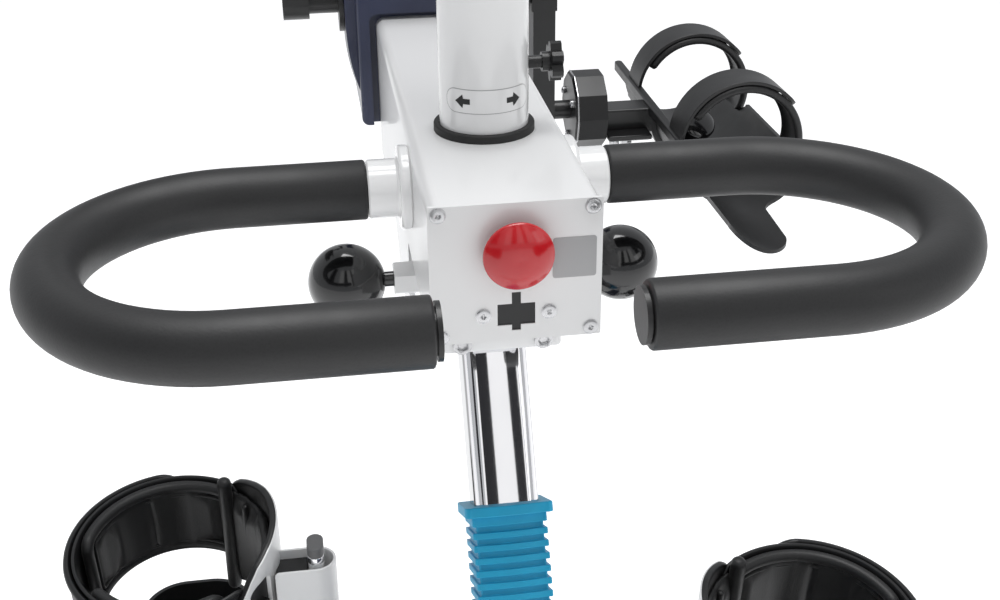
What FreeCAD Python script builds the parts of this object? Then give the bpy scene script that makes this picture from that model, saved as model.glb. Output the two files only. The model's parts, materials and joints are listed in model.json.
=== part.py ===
import FreeCAD, Part

import math
import os

import Sketcher
from FreeCAD import Placement, Rotation, Vector

# Sit to stand lift with a swivelling column, an arm crank drive and a leg crank drive.
# Frame: millimetres, +Z up, +Y away from the front plate, origin on the floor under the middle
# of the base. Head pieces are drawn about the middle of the front plate's face, mast pieces
# along the mast from the point where its axis crosses the underside of the head beam, pedal
# and forearm pieces about the axle that carries them.

SIZES = {
    # where the moving groups stand
    "head_back": -60, "head_height": 860,
    "leg_axis_y": 135, "leg_axis_z": 285, "leg_phase": 4.4, "leg_crank_reach": 91.8,
    "arm_axis_y": 430, "arm_axis_z": 50, "arm_crank_reach": 104,
    "left_arm_shift": 19.5, "left_arm_tilt": 6,
    # clearances
    "soft_gap": 0.3, "slide_gap": 0.3, "shaft_gap": 0.06, "rest_gap": 0.3,
    # base
    "spine_width": 60, "spine_height": 40, "frame_wall": 3, "frame_floor_gap": 22,
    "front_bar_y": -475, "rear_bar_y": 463, "bar_depth": 50, "front_bar_length": 610,
    "rear_bar_length": 500, "cap_length": 15, "cap_tongue": 20,
    "foot_radius": 22, "foot_stem_radius": 8, "front_foot_x": 270, "rear_foot_x": 200,
    "wheel_radius": 32, "wheel_width": 26, "wheel_lift": 4, "wheel_y": 468,
    "axle_radius": 6, "wheel_side_gap": 4,
    # mast
    "mast_tilt": 30, "mast_cross_y": 142, "mast_width": 42, "mast_wall": 2.5, "mast_round": 8,
    "mast_top_drop": 12.5, "inner_mast_length": 665,
    "outer_mast_width": 54, "outer_mast_wall": 3, "outer_mast_round": 9, "mast_foot_height": 83.4,
    "bush_flange": 4, "bush_depth": 60,
    "collar_drop": 173, "collar_height": 7, "collar_width": 55, "collar_round": 6,
    "bellows_width": 48.4, "bellows_root": 45, "bellows_cuff": 6,
    "rib_pitch": 8, "rib_thick": 4.2, "rib_count": 20,
    "socket_before": 53, "socket_behind": 80, "socket_top": 150, "socket_width": 66,
    "motor_width": 44, "motor_gap": 50.5, "screw_case_radius": 12, "screw_case_bore": 8.5,
    "screw_case_top": 330, "rod_radius": 8, "rod_foot_over": 22.5, "rod_head_height": 14,
    # head
    "beam_width": 97.6, "beam_height": 84.4, "beam_wall": 4, "beam_end": 400, "beam_round": 7,
    "neck_front": 145, "neck_rear": 234, "neck_drop": 108, "deep_drop": 70, "neck_shelf": 190,
    "throat_run": 18, "ramp_run": 64, "ramp_rise": 4, "throat_rise": 14,
    "block_width": 73.8, "block_front": 53, "block_rear": 176, "block_drop": 78.3,
    "block_round": 3, "block_screw_x": 25.2, "block_screw_z": -71.5, "block_screw_head": 5.8,
    "block_screw_key": 3.4,
    "knob_axis_y": 128.8, "knob_axis_z": -59.7, "knob_boss_radius": 10.1,
    "knob_boss_end": 51.4, "knob_nut_end": 60.5, "knob_nut_flats": 20.2,
    "stud_radius": 5, "knob_radius": 25.2, "knob_centre": 91, "knob_face": 66.5,
    "plate_thick": 2.5, "corner_screw_x": 43, "corner_screw_z": 37.4,
    "middle_screw_x": 18.8, "middle_screw_z": -25.5,
    "screw_head_radius": 4.2, "screw_head_height": 1.2, "screw_shank_radius": 2, "screw_length": 12,
    "lug_half": 5,
    "stop_z": 14.4, "stop_radius": 20, "stop_face": 17, "stop_rim": 7.5, "stop_stem_radius": 7,
    "stop_collar_radius": 15, "stop_collar_height": 3, "stop_body_radius": 11,
    "stop_body_depth": 45, "stop_travel": 4,
    "insert_z": -25.8, "insert_width": 21.6, "insert_height": 13.4, "insert_bar": 5.2,
    "insert_bar_top": -12, "insert_bar_foot": -36, "insert_recess": 0.8, "insert_depth": 16,
    "insert_flange": 9.7,
    "mount_axis_y": 114.3, "mount_axis_z": 9.7, "flange_radius": 26.4, "flange_thick": 7.1,
    "sleeve_radius": 18.4, "sleeve_end": 75.2, "flange_round": 2.5,
    "handle_radius": 12.5, "handle_wall": 2, "foam_radius": 18.6, "foam_start": 75.6,
    "handle_root": 52, "bend_x": 156, "handle_reach": 97.15, "near_end": 53.4, "foam_end": 54.6,
    "end_plug_radius": 15.4, "end_plug_thick": 2.6,
    # column and panel
    "column_y": 124, "column_radius": 27.7, "column_bore": 24, "column_top": 235,
    "ring_radius": 31.4, "ring_height": 5, "spigot_top": 110,
    "clamp_z": 82.5, "clamp_rod": 4, "clamp_rod_end": 36, "clamp_hub_end": 41,
    "clamp_hub_radius": 6, "clamp_wing_end": 48, "clamp_wing_radius": 12, "clamp_lobes": 6,
    "inner_column_foot": 125, "inner_column_top": 300,
    "boss_foot": 262, "boss_radius": 29, "boss_height": 50,
    "panel_width": 168, "panel_height": 118, "panel_depth": 26, "panel_tilt": 20, "panel_rise": -2,
    "panel_round": 12, "screen_margin": 12, "screen_recess": 1.2,
    # arm drive
    "drive_width": 128, "drive_length": 120, "drive_top": 128, "drive_foot": -45,
    "drive_round": 8, "drive_wall": 4, "dome_radius": 74, "dome_rise": 9, "hub_radius": 26, "hub_end": 73,
    "rim_depth": 10, "rim_side": 9.5, "rim_gap_top": 47, "rim_round": 6,
    "seal_radius": 25, "seal_start": 73.4, "seal_end": 77,
    "arm_shaft_radius": 10, "arm_bar_start": 81, "arm_bar_end": 102, "arm_bar_depth": 26,
    "arm_bar_over": 15, "arm_bar_inset": 1.2, "arm_sleeve_reach": 14, "arm_pin_radius": 8,
    "arm_pin_end": 141, "gearmotor_width": 80, "gearmotor_length": 84, "gearmotor_rise": 42,
    # forearm carriers
    "drum_start": 116, "drum_end": 143.4, "drum_radius": 33, "drum_sides": 10, "drum_chamfer": 1.6,
    "bracket_depth": 26, "bracket_top": 1, "bracket_foot": -21,
    "bracket_wall": 5, "trough_x": 239, "trough_z": -3, "trough_radius": 50, "trough_wall": 3,
    "trough_near": -210, "trough_far": 129, "trough_left_rise": 4, "trough_right_drop": 12,
    "strap_radius": 53, "strap_width": 28, "near_strap_y": -88, "far_strap_y": 54,
    # leg drive
    "housing_width": 124, "housing_wall": 4, "housing_front": -95,
    "housing_nose": 80, "housing_round": 70, "housing_edge": 8,
    "leg_shaft_radius": 12.5, "leg_crank_start": 72, "leg_crank_thick": 18,
    "leg_hub_radius": 24, "leg_pin_boss": 17, "leg_pin_radius": 7, "leg_pin_end": 150,
    "leg_motor_radius": 42, "leg_gear_width": 84, "leg_pedestal": 50,
    # pedals, calf posts and cuffs
    "carrier_start": 95, "carrier_end": 292, "carrier_height": 28, "carrier_round": 5,
    "sole_start": 197, "sole_end": 299, "sole_back": -128, "sole_front": 150, "sole_thick": 5,
    "sole_rim": 34, "sole_round": 40, "sole_wall": 4, "lug_start": 117, "lug_end": 141, "lug_back": -39,
    "post_seat": 8,
    "post_x": 129, "post_y": -23, "post_width": 13, "post_length": 23, "post_top": 191,
    "cuff_x": 247, "cuff_y": 8, "right_cuff_rise": 15, "cuff_radius": 85, "cuff_top": 202,
    "cuff_height": 80, "cuff_tilt": 9, "strap_thick": 7, "shell_foot": 118, "shell_top": 220,
    "nose_foot": 178, "nose_rear": -32, "shell_round": 14, "slot_front": -54, "slot_rear": -31,
    "slot_foot": 150, "slot_top": 196, "slot_round": 8,
    "shell_wall": 3, "shell_gap": 0.5, "shell_half_angle": 62, "pad_thick": 9,
    "loop_top": 171, "loop_height": 26, "loop_wall": 4.7, "loop_end": 112, "loop_width": 33,
}

doc = FreeCAD.newDocument("sit_to_stand_lift")
sheet = doc.addObject("Spreadsheet::Sheet", "sizes")
for row, (alias, value) in enumerate(SIZES.items(), start=1):
    sheet.set(f"A{row}", alias)
    sheet.set(f"B{row}", str(value))
    sheet.setAlias(f"B{row}", alias)
doc.recompute()

PARTS = []
ALONG_X = Vector(1, 0, 0)
ALONG_Y = Vector(0, 1, 0)
ALONG_Z = Vector(0, 0, 1)


# --- helpers -----------------------------------------------------------------------------------

def size(expression):
    """Value of an expression in the sheet's names, such as 'beam_width / 2'."""
    return float(sheet.evalExpression(expression))


def tied(expression):
    """The same expression as other objects write it, with each alias found in the sheet."""
    words = expression.replace("(", " ( ").replace(")", " ) ").split()
    text = " ".join("sizes." + word if word in SIZES else word for word in words)
    for turn in ("cos", "sin", "tan"):
        text = text.replace(f"{turn} (", f"{turn}(")
    return text


def bind(target, **expressions):
    """Tie properties to the sheet; a double underscore stands for the dot in a property path."""
    for path, expression in expressions.items():
        target.setExpression(path.replace("__", "."), tied(expression))


def place(target, x="0", y="0", z="0", axis=None, angle=None):
    """Placement tied to the sheet, with an optional turn about one axis."""
    turn = Rotation() if axis is None else Rotation(axis, size(angle))
    target.Placement = Placement(Vector(size(x), size(y), size(z)), turn)
    bind(target, Placement__Base__x=x, Placement__Base__y=y, Placement__Base__z=z)
    if axis is not None:
        bind(target, Placement__Rotation__Angle=angle)
    return target


def on_head(target):
    return place(target, y="head_back", z="head_height")


def on_mast(target):
    return place(target, y="head_back + mast_cross_y", z="head_height - beam_height / 2",
                 axis=Vector(-1, 0, 0), angle="mast_tilt")


def node(target):
    """List a finished sub-part; its label names its file."""
    PARTS.append(target)
    return target


def new_body(label):
    return doc.addObject("PartDesign::Body", label)


def sketch_on(body, role, lift=None, name="outline"):
    """Empty sketch on an origin plane, lifted along that plane's normal."""
    plane = next(item for item in body.Origin.OriginFeatures if item.Role == role)
    drawing = body.newObject("Sketcher::SketchObject", f"{body.Name}_{name}")
    drawing.AttachmentSupport = (plane, [""])
    drawing.MapMode = "FlatFace"
    if lift is not None:
        bind(drawing, AttachmentOffset__Base__z=lift)
    return drawing


def locate(drawing, geometry, point, x, y):
    """Hold a sketch point at a distance from the origin along both axes."""
    for kind, expression in (("DistanceX", x), ("DistanceY", y)):
        value = size(expression)
        if abs(value) < 1e-9:
            axis = -2 if kind == "DistanceX" else -1
            drawing.addConstraint(Sketcher.Constraint("PointOnObject", geometry, point, axis))
        elif value > 0:
            index = drawing.addConstraint(Sketcher.Constraint(kind, -1, 1, geometry, point, value))
            drawing.setExpression(f"Constraints[{index}]", tied(expression))
        else:
            index = drawing.addConstraint(Sketcher.Constraint(kind, geometry, point, -1, 1, -value))
            drawing.setExpression(f"Constraints[{index}]", tied(f"0 - ( {expression} )"))


def measure(drawing, kind, *where, length):
    index = drawing.addConstraint(Sketcher.Constraint(kind, *where, size(length)))
    drawing.setExpression(f"Constraints[{index}]", tied(length))


def rectangle(drawing, left, low, width, height):
    """Rectangle with its lower left corner at (left, low)."""
    x0, y0 = size(left), size(low)
    x1, y1 = x0 + size(width), y0 + size(height)
    first = drawing.GeometryCount
    corners = [Vector(x0, y0), Vector(x1, y0), Vector(x1, y1), Vector(x0, y1)]
    for index in range(4):
        drawing.addGeometry(Part.LineSegment(corners[index], corners[(index + 1) % 4]), False)
    for index in range(4):
        after = first + (index + 1) % 4
        drawing.addConstraint(Sketcher.Constraint("Coincident", first + index, 2, after, 1))
    for index, kind in enumerate(("Horizontal", "Vertical", "Horizontal", "Vertical")):
        drawing.addConstraint(Sketcher.Constraint(kind, first + index))
    locate(drawing, first, 1, left, low)
    measure(drawing, "DistanceX", first, 1, first, 2, length=width)
    measure(drawing, "DistanceY", first + 1, 1, first + 1, 2, length=height)


def middle_rectangle(drawing, width, height, x="0", y="0"):
    rectangle(drawing, f"( {x} ) - ( {width} ) / 2", f"( {y} ) - ( {height} ) / 2", width, height)


def circle(drawing, radius, x="0", y="0"):
    index = drawing.addGeometry(
        Part.Circle(Vector(size(x), size(y)), ALONG_Z, size(radius)), False)
    measure(drawing, "Radius", index, length=radius)
    locate(drawing, index, 3, x, y)


def rounded_square(drawing, width, radius):
    """Square about the origin with rounded corners."""
    half, bend = size(width) / 2, size(radius)
    straight = half - bend
    first = drawing.GeometryCount
    for quarter in range(4):
        turn = Rotation(ALONG_Z, 90 * quarter)
        start = turn.multVec(Vector(-straight, -half, 0))
        end = turn.multVec(Vector(straight, -half, 0))
        centre = turn.multVec(Vector(straight, -straight, 0))
        begin = math.radians(270 + 90 * quarter)
        arc = Part.ArcOfCircle(Part.Circle(centre, ALONG_Z, bend), begin, begin + math.pi / 2)
        drawing.addGeometry(Part.LineSegment(start, end), False)
        drawing.addGeometry(arc, False)
    for index in range(0, 8, 2):
        line, arc, after = first + index, first + index + 1, first + (index + 2) % 8
        drawing.addConstraint(Sketcher.Constraint("Tangent", line, 2, arc, 1))
        drawing.addConstraint(Sketcher.Constraint("Tangent", arc, 2, after, 1))
        kind = "Horizontal" if index % 4 == 0 else "Vertical"
        drawing.addConstraint(Sketcher.Constraint(kind, line))
    for index in (3, 5, 7):
        drawing.addConstraint(Sketcher.Constraint("Equal", first + 1, first + index))
    measure(drawing, "Radius", first + 1, length=radius)
    drawing.addConstraint(Sketcher.Constraint("Symmetric", first + 1, 3, first + 5, 3, -1, 1))
    straight_part = f"( {width} ) - 2 * ( {radius} )"
    measure(drawing, "DistanceX", first + 4, 2, first + 4, 1, length=straight_part)
    measure(drawing, "DistanceY", first + 2, 1, first + 2, 2, length=straight_part)


def outline(drawing, points):
    """Closed outline through points; a point with a third value is the middle of an arc."""
    index = 0
    first = drawing.GeometryCount
    count = len(points)
    while index < count:
        start = points[index]
        after = points[(index + 1) % count]
        if len(after) == 3:
            end = points[(index + 2) % count]
            drawing.addGeometry(
                Part.Arc(Vector(*start[:2]), Vector(*after[:2]), Vector(*end[:2])), False)
            index += 2
        else:
            drawing.addGeometry(Part.LineSegment(Vector(*start), Vector(*after)), False)
            index += 1
    for geometry in range(first, drawing.GeometryCount):
        drawing.addConstraint(Sketcher.Constraint("Block", geometry))


def grow(body, kind, drawing, length=None, symmetric=False, reverse=False):
    """Pad or pocket of a sketch; without a length it goes through everything."""
    feature = body.newObject(f"PartDesign::{kind}", f"{body.Name}_{kind.lower()}")
    feature.Profile = drawing
    if length is None:
        feature.Type = "ThroughAll"
    else:
        bind(feature, Length=length)
    if symmetric:
        feature.SideType = "Symmetric"
    feature.Reversed = reverse
    return feature


def pad(body, drawing, length, symmetric=False, reverse=False):
    return grow(body, "Pad", drawing, length, symmetric, reverse)


def pocket(body, drawing, length=None, symmetric=False, reverse=False):
    return grow(body, "Pocket", drawing, length, symmetric, reverse)


def spin(body, drawing, axis, cut=False):
    """Full turn of a sketch about its own horizontal or vertical axis."""
    kind = "Groove" if cut else "Revolution"
    feature = body.newObject(f"PartDesign::{kind}", f"{body.Name}_{kind.lower()}")
    feature.Profile = drawing
    feature.ReferenceAxis = (drawing, [axis])
    feature.Angle = 360
    return feature


def edges_where(shape, wanted):
    return [f"Edge{index}" for index, edge in enumerate(shape.Edges, start=1) if wanted(edge)]


def runs_along(edge, direction):
    """True for a straight edge parallel to a direction."""
    if not isinstance(edge.Curve, (Part.Line, Part.LineSegment)):
        return False
    return abs(edge.tangentAt(edge.FirstParameter).dot(direction)) > 0.999


def soften(body, radius, wanted, kind="Fillet"):
    """Fillet or chamfer on the edges of the body's tip that pass a test."""
    doc.recompute()
    base = body.Tip
    feature = body.newObject(f"PartDesign::{kind}", f"{body.Name}_{kind.lower()}")
    feature.Base = (base, edges_where(base.Shape, wanted))
    bind(feature, **({"Radius": radius} if kind == "Fillet" else {"Size": radius}))
    return feature


def cylinder(label, radius, length, axis=ALONG_Z, x="0", y="0", z="0"):
    solid = doc.addObject("Part::Cylinder", label)
    bind(solid, Radius=radius, Height=length)
    turn = Rotation(ALONG_Z, axis)
    solid.Placement = Placement(Vector(size(x), size(y), size(z)), turn)
    bind(solid, Placement__Base__x=x, Placement__Base__y=y, Placement__Base__z=z)
    return solid


def block(label, length, width, height, x="0", y="0", z="0"):
    solid = doc.addObject("Part::Box", label)
    bind(solid, Length=length, Width=width, Height=height)
    return place(solid, x, y, z)


def joined(label, pieces):
    solid = doc.addObject("Part::MultiFuse", label)
    solid.Shapes = pieces
    return solid


def cut_from(label, base, tool):
    solid = doc.addObject("Part::Cut", label)
    solid.Base = base
    solid.Tool = tool
    return solid


def mirrored(source, label, **where):
    """Left-hand copy of a right-hand piece, placed by what differs from a plain mirror image."""
    twin = doc.addObject("Part::Mirroring", label)
    twin.Source = source
    twin.Normal = ALONG_X
    place(twin, **where)
    return node(twin)


def group(label, solids):
    """Several separate solids in one sub-part."""
    together = doc.addObject("Part::Compound", label)
    together.Links = solids
    return node(together)


# --- base --------------------------------------------------------------------------------------

def bar_tube(label, length, along, y):
    """Square-cornered frame tube lying along X or Y, hollow and open at its ends."""
    wide, deep = (length, "bar_depth") if along == "x" else ("spine_width", length)
    outer = block(f"{label}_outer", wide, deep, "spine_height",
                  x=f"0 - ( {wide} ) / 2", y=f"( {y} ) - ( {deep} ) / 2", z="frame_floor_gap")
    wall = "frame_wall"
    wide_in = length if along == "x" else f"( {wide} ) - 2 * {wall}"
    deep_in = f"( {deep} ) - 2 * {wall}" if along == "x" else length
    inner = block(f"{label}_inner", wide_in, deep_in, f"spine_height - 2 * {wall}",
                  x=f"0 - ( {wide_in} ) / 2", y=f"( {y} ) - ( {deep_in} ) / 2",
                  z=f"frame_floor_gap + {wall}")
    return outer, inner


MAST_RISE = "( head_height - beam_height / 2 - mast_foot_height )"
MAST_FOOT = f"( {MAST_RISE} / cos( mast_tilt ) )"
MAST_FOOT_Y = f"( head_back + mast_cross_y - {MAST_RISE} * tan( mast_tilt ) )"


def make_base_frame():
    spine_length = "rear_bar_y - front_bar_y - bar_depth"
    spine = bar_tube("spine", spine_length, "y", "( rear_bar_y + front_bar_y ) / 2")
    front = bar_tube("front_bar", "front_bar_length", "x", "front_bar_y")
    rear = bar_tube("rear_bar", "rear_bar_length", "x", "rear_bar_y")
    socket = block("mast_socket", "socket_width", "socket_before + socket_behind",
                   "socket_top - frame_floor_gap - spine_height",
                   x="0 - socket_width / 2", y=f"{MAST_FOOT_Y} - socket_before",
                   z="frame_floor_gap + spine_height")
    stubs = []
    length = "wheel_side_gap + wheel_width - frame_wall - rest_gap"
    for side in ("left", "right"):
        x = "rear_bar_length / 2" if side == "right" else f"0 - rear_bar_length / 2 - ( {length} )"
        stubs.append(cylinder(f"axle_{side}", "axle_radius", length, ALONG_X, x=x,
                              y="wheel_y", z="wheel_radius + wheel_lift"))
        plate_x = ("rear_bar_length / 2 - frame_wall" if side == "right"
                   else "0 - rear_bar_length / 2")
        stubs.append(block(f"bar_end_{side}", "frame_wall", "bar_depth", "spine_height",
                           x=plate_x, y="rear_bar_y - bar_depth / 2", z="frame_floor_gap"))
    tubes = joined("frame_tubes", [spine[0], front[0], rear[0], socket])
    bores = joined("frame_bores", [spine[1], front[1], rear[1]])
    hollow = cut_from("frame_hollow", tubes, bores)
    welded = joined("frame_welded", [hollow] + stubs)
    seat = new_body("mast_seat")
    section = sketch_on(seat, "XY_Plane", f"0 - {MAST_FOOT}")
    rounded_square(section, "outer_mast_width", "outer_mast_round")
    pad(seat, section, MAST_FOOT)
    on_mast(seat)
    return node(cut_from("base_frame", welded, seat))


def make_bar_caps():
    caps = []
    for side, sign in (("left", -1), ("right", 1)):
        start = "front_bar_length / 2"
        flange_x = start if sign > 0 else f"0 - {start} - cap_length"
        tongue_x = f"{start} - cap_tongue" if sign > 0 else f"0 - {start}"
        flange = block(f"cap_flange_{side}", "cap_length", "bar_depth", "spine_height",
                       x=flange_x, y="front_bar_y - bar_depth / 2", z="frame_floor_gap")
        tongue = block(f"cap_tongue_{side}", "cap_tongue",
                       "bar_depth - 2 * frame_wall - 2 * rest_gap",
                       "spine_height - 2 * frame_wall - 2 * rest_gap", x=tongue_x,
                       y="front_bar_y - bar_depth / 2 + frame_wall + rest_gap",
                       z="frame_floor_gap + frame_wall + rest_gap")
        cap = joined(f"cap_{side}", [flange, tongue])
        doc.recompute()
        rounded = doc.addObject("Part::Fillet", f"cap_rounded_{side}")
        rounded.Base = cap
        outer_x = sign * (size("front_bar_length") / 2 + size("cap_length"))
        rim = [(index, 4.0, 4.0) for index, edge in enumerate(cap.Shape.Edges, start=1)
               if all(abs(vertex.X - outer_x) < 0.01 for vertex in edge.Vertexes)]
        rounded.Edges = rim
        caps.append(rounded)
    return group("crossbar_caps", caps)


def make_rubber_feet():
    feet = []
    for name, x, y in (("front_left", "0 - front_foot_x", "front_bar_y"),
                       ("front_right", "front_foot_x", "front_bar_y"),
                       ("rear_left", "0 - rear_foot_x", "rear_bar_y"),
                       ("rear_right", "rear_foot_x", "rear_bar_y")):
        foot = new_body(f"foot_{name}")
        half = sketch_on(foot, "XZ_Plane")
        rim, stem = size("foot_radius"), size("foot_stem_radius")
        top = size("frame_floor_gap")
        outline(half, [(0, 0), (rim - 3, 0), (rim, 3), (rim, top * 0.45),
                       (stem + 4, top * 0.7), (stem + 4, top), (0, top)])
        spin(foot, half, "V_Axis")
        feet.append(place(foot, x=x, y=y))
    return group("rubber_feet", feet)


def make_wheels():
    wheel = new_body("wheel_right")
    half = sketch_on(wheel, "XY_Plane")
    inner = size("rear_bar_length / 2 + wheel_side_gap")
    outer = inner + size("wheel_width")
    radius, bore = size("wheel_radius"), size("axle_radius + shaft_gap")
    cover = outer - size("frame_wall")
    outline(half, [(inner, bore), (inner, bore + 7), (inner + 7, bore + 9), (inner + 7, radius - 11),
                   (inner, radius - 8), (inner, radius - 3), (inner + 3, radius),
                   (outer - 3, radius), (outer, radius - 3), (outer, radius - 8),
                   (outer - 4, radius - 11), (outer - 4, bore + 6), (outer, bore + 4), (outer, 0),
                   (cover, 0), (cover, bore)])
    spin(wheel, half, "H_Axis")
    place(wheel, y="wheel_y", z="wheel_radius + wheel_lift")
    node(wheel)
    mirrored(wheel, "wheel_left")


# --- mast --------------------------------------------------------------------------------------

def square_tube(label, width, wall, bend, foot, length):
    """Rounded square tube along the mast, from a distance below the head."""
    body = new_body(label)
    section = sketch_on(body, "XY_Plane", f"0 - ( {foot} )")
    rounded_square(section, width, bend)
    if wall is not None:
        rounded_square(section, f"( {width} ) - 2 * ( {wall} )", f"( {bend} ) - ( {wall} )")
    pad(body, section, length)
    return on_mast(body)


BUSH_TOP = ("collar_drop + collar_height + bellows_cuff + rib_pitch * rib_count")
OUTER_MAST_TOP = BUSH_TOP + " + bush_flange"


def make_mast():
    node(square_tube("mast_outer_tube", "outer_mast_width", "outer_mast_wall", "outer_mast_round",
                     MAST_FOOT, f"{MAST_FOOT} - ( {OUTER_MAST_TOP} )"))
    node(square_tube("mast_inner_tube", "mast_width", "mast_wall", "mast_round",
                     "mast_top_drop + inner_mast_length", "inner_mast_length"))
    bush = new_body("mast_guide_bush")
    flange = sketch_on(bush, "XY_Plane", f"0 - ( {OUTER_MAST_TOP} )", "flange")
    rounded_square(flange, "outer_mast_width", "outer_mast_round")
    pad(bush, flange, "bush_flange")
    sleeve = sketch_on(bush, "XY_Plane", f"0 - ( {OUTER_MAST_TOP} )", "sleeve")
    rounded_square(sleeve, "outer_mast_width - 2 * outer_mast_wall",
                   "outer_mast_round - outer_mast_wall")
    pad(bush, sleeve, "bush_depth", reverse=True)
    bore = sketch_on(bush, "XY_Plane", f"0 - ( {BUSH_TOP} )", "bore")
    rounded_square(bore, "mast_width + 2 * slide_gap", "mast_round + slide_gap")
    pocket(bush, bore)
    node(on_mast(bush))


def make_bellows():
    bellows = new_body("mast_bellows")
    root = sketch_on(bellows, "XY_Plane", f"0 - ( {BUSH_TOP} )", "root")
    rounded_square(root, "bellows_root", "mast_round + 1")
    pad(bellows, root, "rib_pitch * rib_count + bellows_cuff")
    cuff = sketch_on(bellows, "XY_Plane", f"0 - ( {BUSH_TOP} )", "cuff")
    rounded_square(cuff, "bellows_width", "collar_round")
    pad(bellows, cuff, "bellows_cuff")
    rib = sketch_on(bellows, "XY_Plane", f"rib_pitch + bellows_cuff - rib_thick - ( {BUSH_TOP} )",
                    "rib")
    rounded_square(rib, "bellows_width", "collar_round")
    ridge = pad(bellows, rib, "rib_thick")
    doc.recompute()
    ribs = bellows.newObject("PartDesign::LinearPattern", "bellows_ribs")
    ribs.Originals = [ridge]
    ribs.Direction = (rib, ["N_Axis"])
    ribs.Mode = "Spacing"
    bind(ribs, Offset="rib_pitch", Occurrences="rib_count")
    bellows.Tip = ribs
    bore = sketch_on(bellows, "XY_Plane", f"0 - ( {BUSH_TOP} )", "bore")
    rounded_square(bore, "mast_width + 2 * slide_gap", "mast_round + slide_gap")
    pocket(bellows, bore, reverse=True)
    node(on_mast(bellows))

    collar = new_body("bellows_collar")
    section = sketch_on(collar, "XY_Plane", "0 - collar_drop - collar_height + soft_gap")
    rounded_square(section, "collar_width", "collar_round")
    rounded_square(section, "mast_width", "mast_round")
    pad(collar, section, "collar_height - soft_gap")
    node(on_mast(collar))


def make_lift_actuator():
    """Motor at the mast's foot with a screw case; its rod lifts the inner tube."""
    actuator = new_body("lift_actuator")
    inner_foot = "mast_top_drop + inner_mast_length"
    motor_top = f"( {inner_foot} + motor_gap )"
    motor = sketch_on(actuator, "XY_Plane", f"0 - {MAST_FOOT}", "motor")
    rounded_square(motor, "motor_width", "mast_round")
    pad(actuator, motor, f"{MAST_FOOT} - {motor_top}")
    case = sketch_on(actuator, "XY_Plane", f"0 - {motor_top}", "case")
    circle(case, "screw_case_radius")
    pad(actuator, case, f"{motor_top} - screw_case_top")
    bore = sketch_on(actuator, "XY_Plane", "0 - screw_case_top", "bore")
    circle(bore, "screw_case_bore")
    pocket(actuator, bore, f"{motor_top} - screw_case_top - frame_wall")
    node(on_mast(actuator))

    rod = new_body("actuator_rod")
    shank = sketch_on(rod, "XY_Plane", f"0 - ( {inner_foot} + rod_foot_over )", "shank")
    circle(shank, "rod_radius")
    pad(rod, shank, "inner_mast_length + rod_foot_over - rod_head_height")
    head = sketch_on(rod, "XY_Plane", "0 - mast_top_drop - rod_head_height", "head")
    rounded_square(head, "mast_width - 2 * mast_wall", "mast_round - mast_wall")
    pad(rod, head, "rod_head_height")
    node(on_mast(rod))


# --- head --------------------------------------------------------------------------------------

def make_head_beam():
    beam = new_body("head_beam")
    front, rear = size("plate_thick"), size("beam_end")
    half, wall = size("beam_height / 2"), size("beam_wall")
    neck_front, neck_rear = size("neck_front"), size("neck_rear")
    drop, deep = size("neck_drop"), size("deep_drop")
    ramp, throat = neck_rear + size("ramp_run"), size("throat_run")
    ramp_low, throat_low = deep + size("ramp_rise"), deep + size("throat_rise")
    side = sketch_on(beam, "YZ_Plane")
    outline(side, [(front, -half), (front, half), (rear, half), (rear, -deep),
                   (ramp, -ramp_low), (neck_rear + throat, -throat_low, 0),
                   (neck_rear, -drop), (neck_front + 14, -drop), (neck_front, -half)])
    pad(beam, side, "beam_width", symmetric=True)
    soften(beam, "beam_round", lambda edge: runs_along(edge, ALONG_Y)
           and edge.CenterOfMass.z > half - 0.01)
    shelf = size("neck_shelf")
    tunnel = sketch_on(beam, "YZ_Plane", name="tunnel")
    outline(tunnel, [(front, wall - half), (front, half - wall), (rear - wall, half - wall),
                     (rear - wall, wall - deep), (ramp, wall - ramp_low),
                     (neck_rear + throat - wall, wall - throat_low, 0), (neck_rear - wall, -drop),
                     (shelf, -drop), (shelf, wall - half)])
    pocket(beam, tunnel, "beam_width - 2 * beam_wall", symmetric=True)
    neck = sketch_on(beam, "YZ_Plane", name="neck")
    outline(neck, [(neck_front - 1, -half), (shelf + 1, -half), (shelf + 1, -drop - 1),
                   (neck_front - 1, -drop - 1)])
    pocket(beam, neck, "beam_width - 2 * beam_wall", symmetric=True)
    lugs = sketch_on(beam, "XZ_Plane", "0 - plate_thick", "lugs")
    taps = sketch_on(beam, "XZ_Plane", "0 - plate_thick", "taps")
    for x in (1, -1):
        for z in (1, -1):
            rectangle(lugs, "corner_screw_x - lug_half" if x > 0 else "0 - beam_width / 2 + beam_wall",
                      "corner_screw_z - lug_half" if z > 0 else "0 - beam_height / 2 + beam_wall",
                      "beam_width / 2 - beam_wall - corner_screw_x + lug_half",
                      "beam_height / 2 - beam_wall - corner_screw_z + lug_half")
            circle(taps, "screw_shank_radius", f"{x} * corner_screw_x", f"{z} * corner_screw_z")
    pad(beam, lugs, "screw_length + 1", reverse=True)
    pocket(beam, taps, "screw_length + 2")
    spigot = sketch_on(beam, "XY_Plane", "beam_height / 2 - beam_wall", "spigot")
    circle(spigot, "column_bore - shaft_gap", y="column_y")
    pad(beam, spigot, "spigot_top - beam_height / 2 + beam_wall")
    node(on_head(beam))


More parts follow.
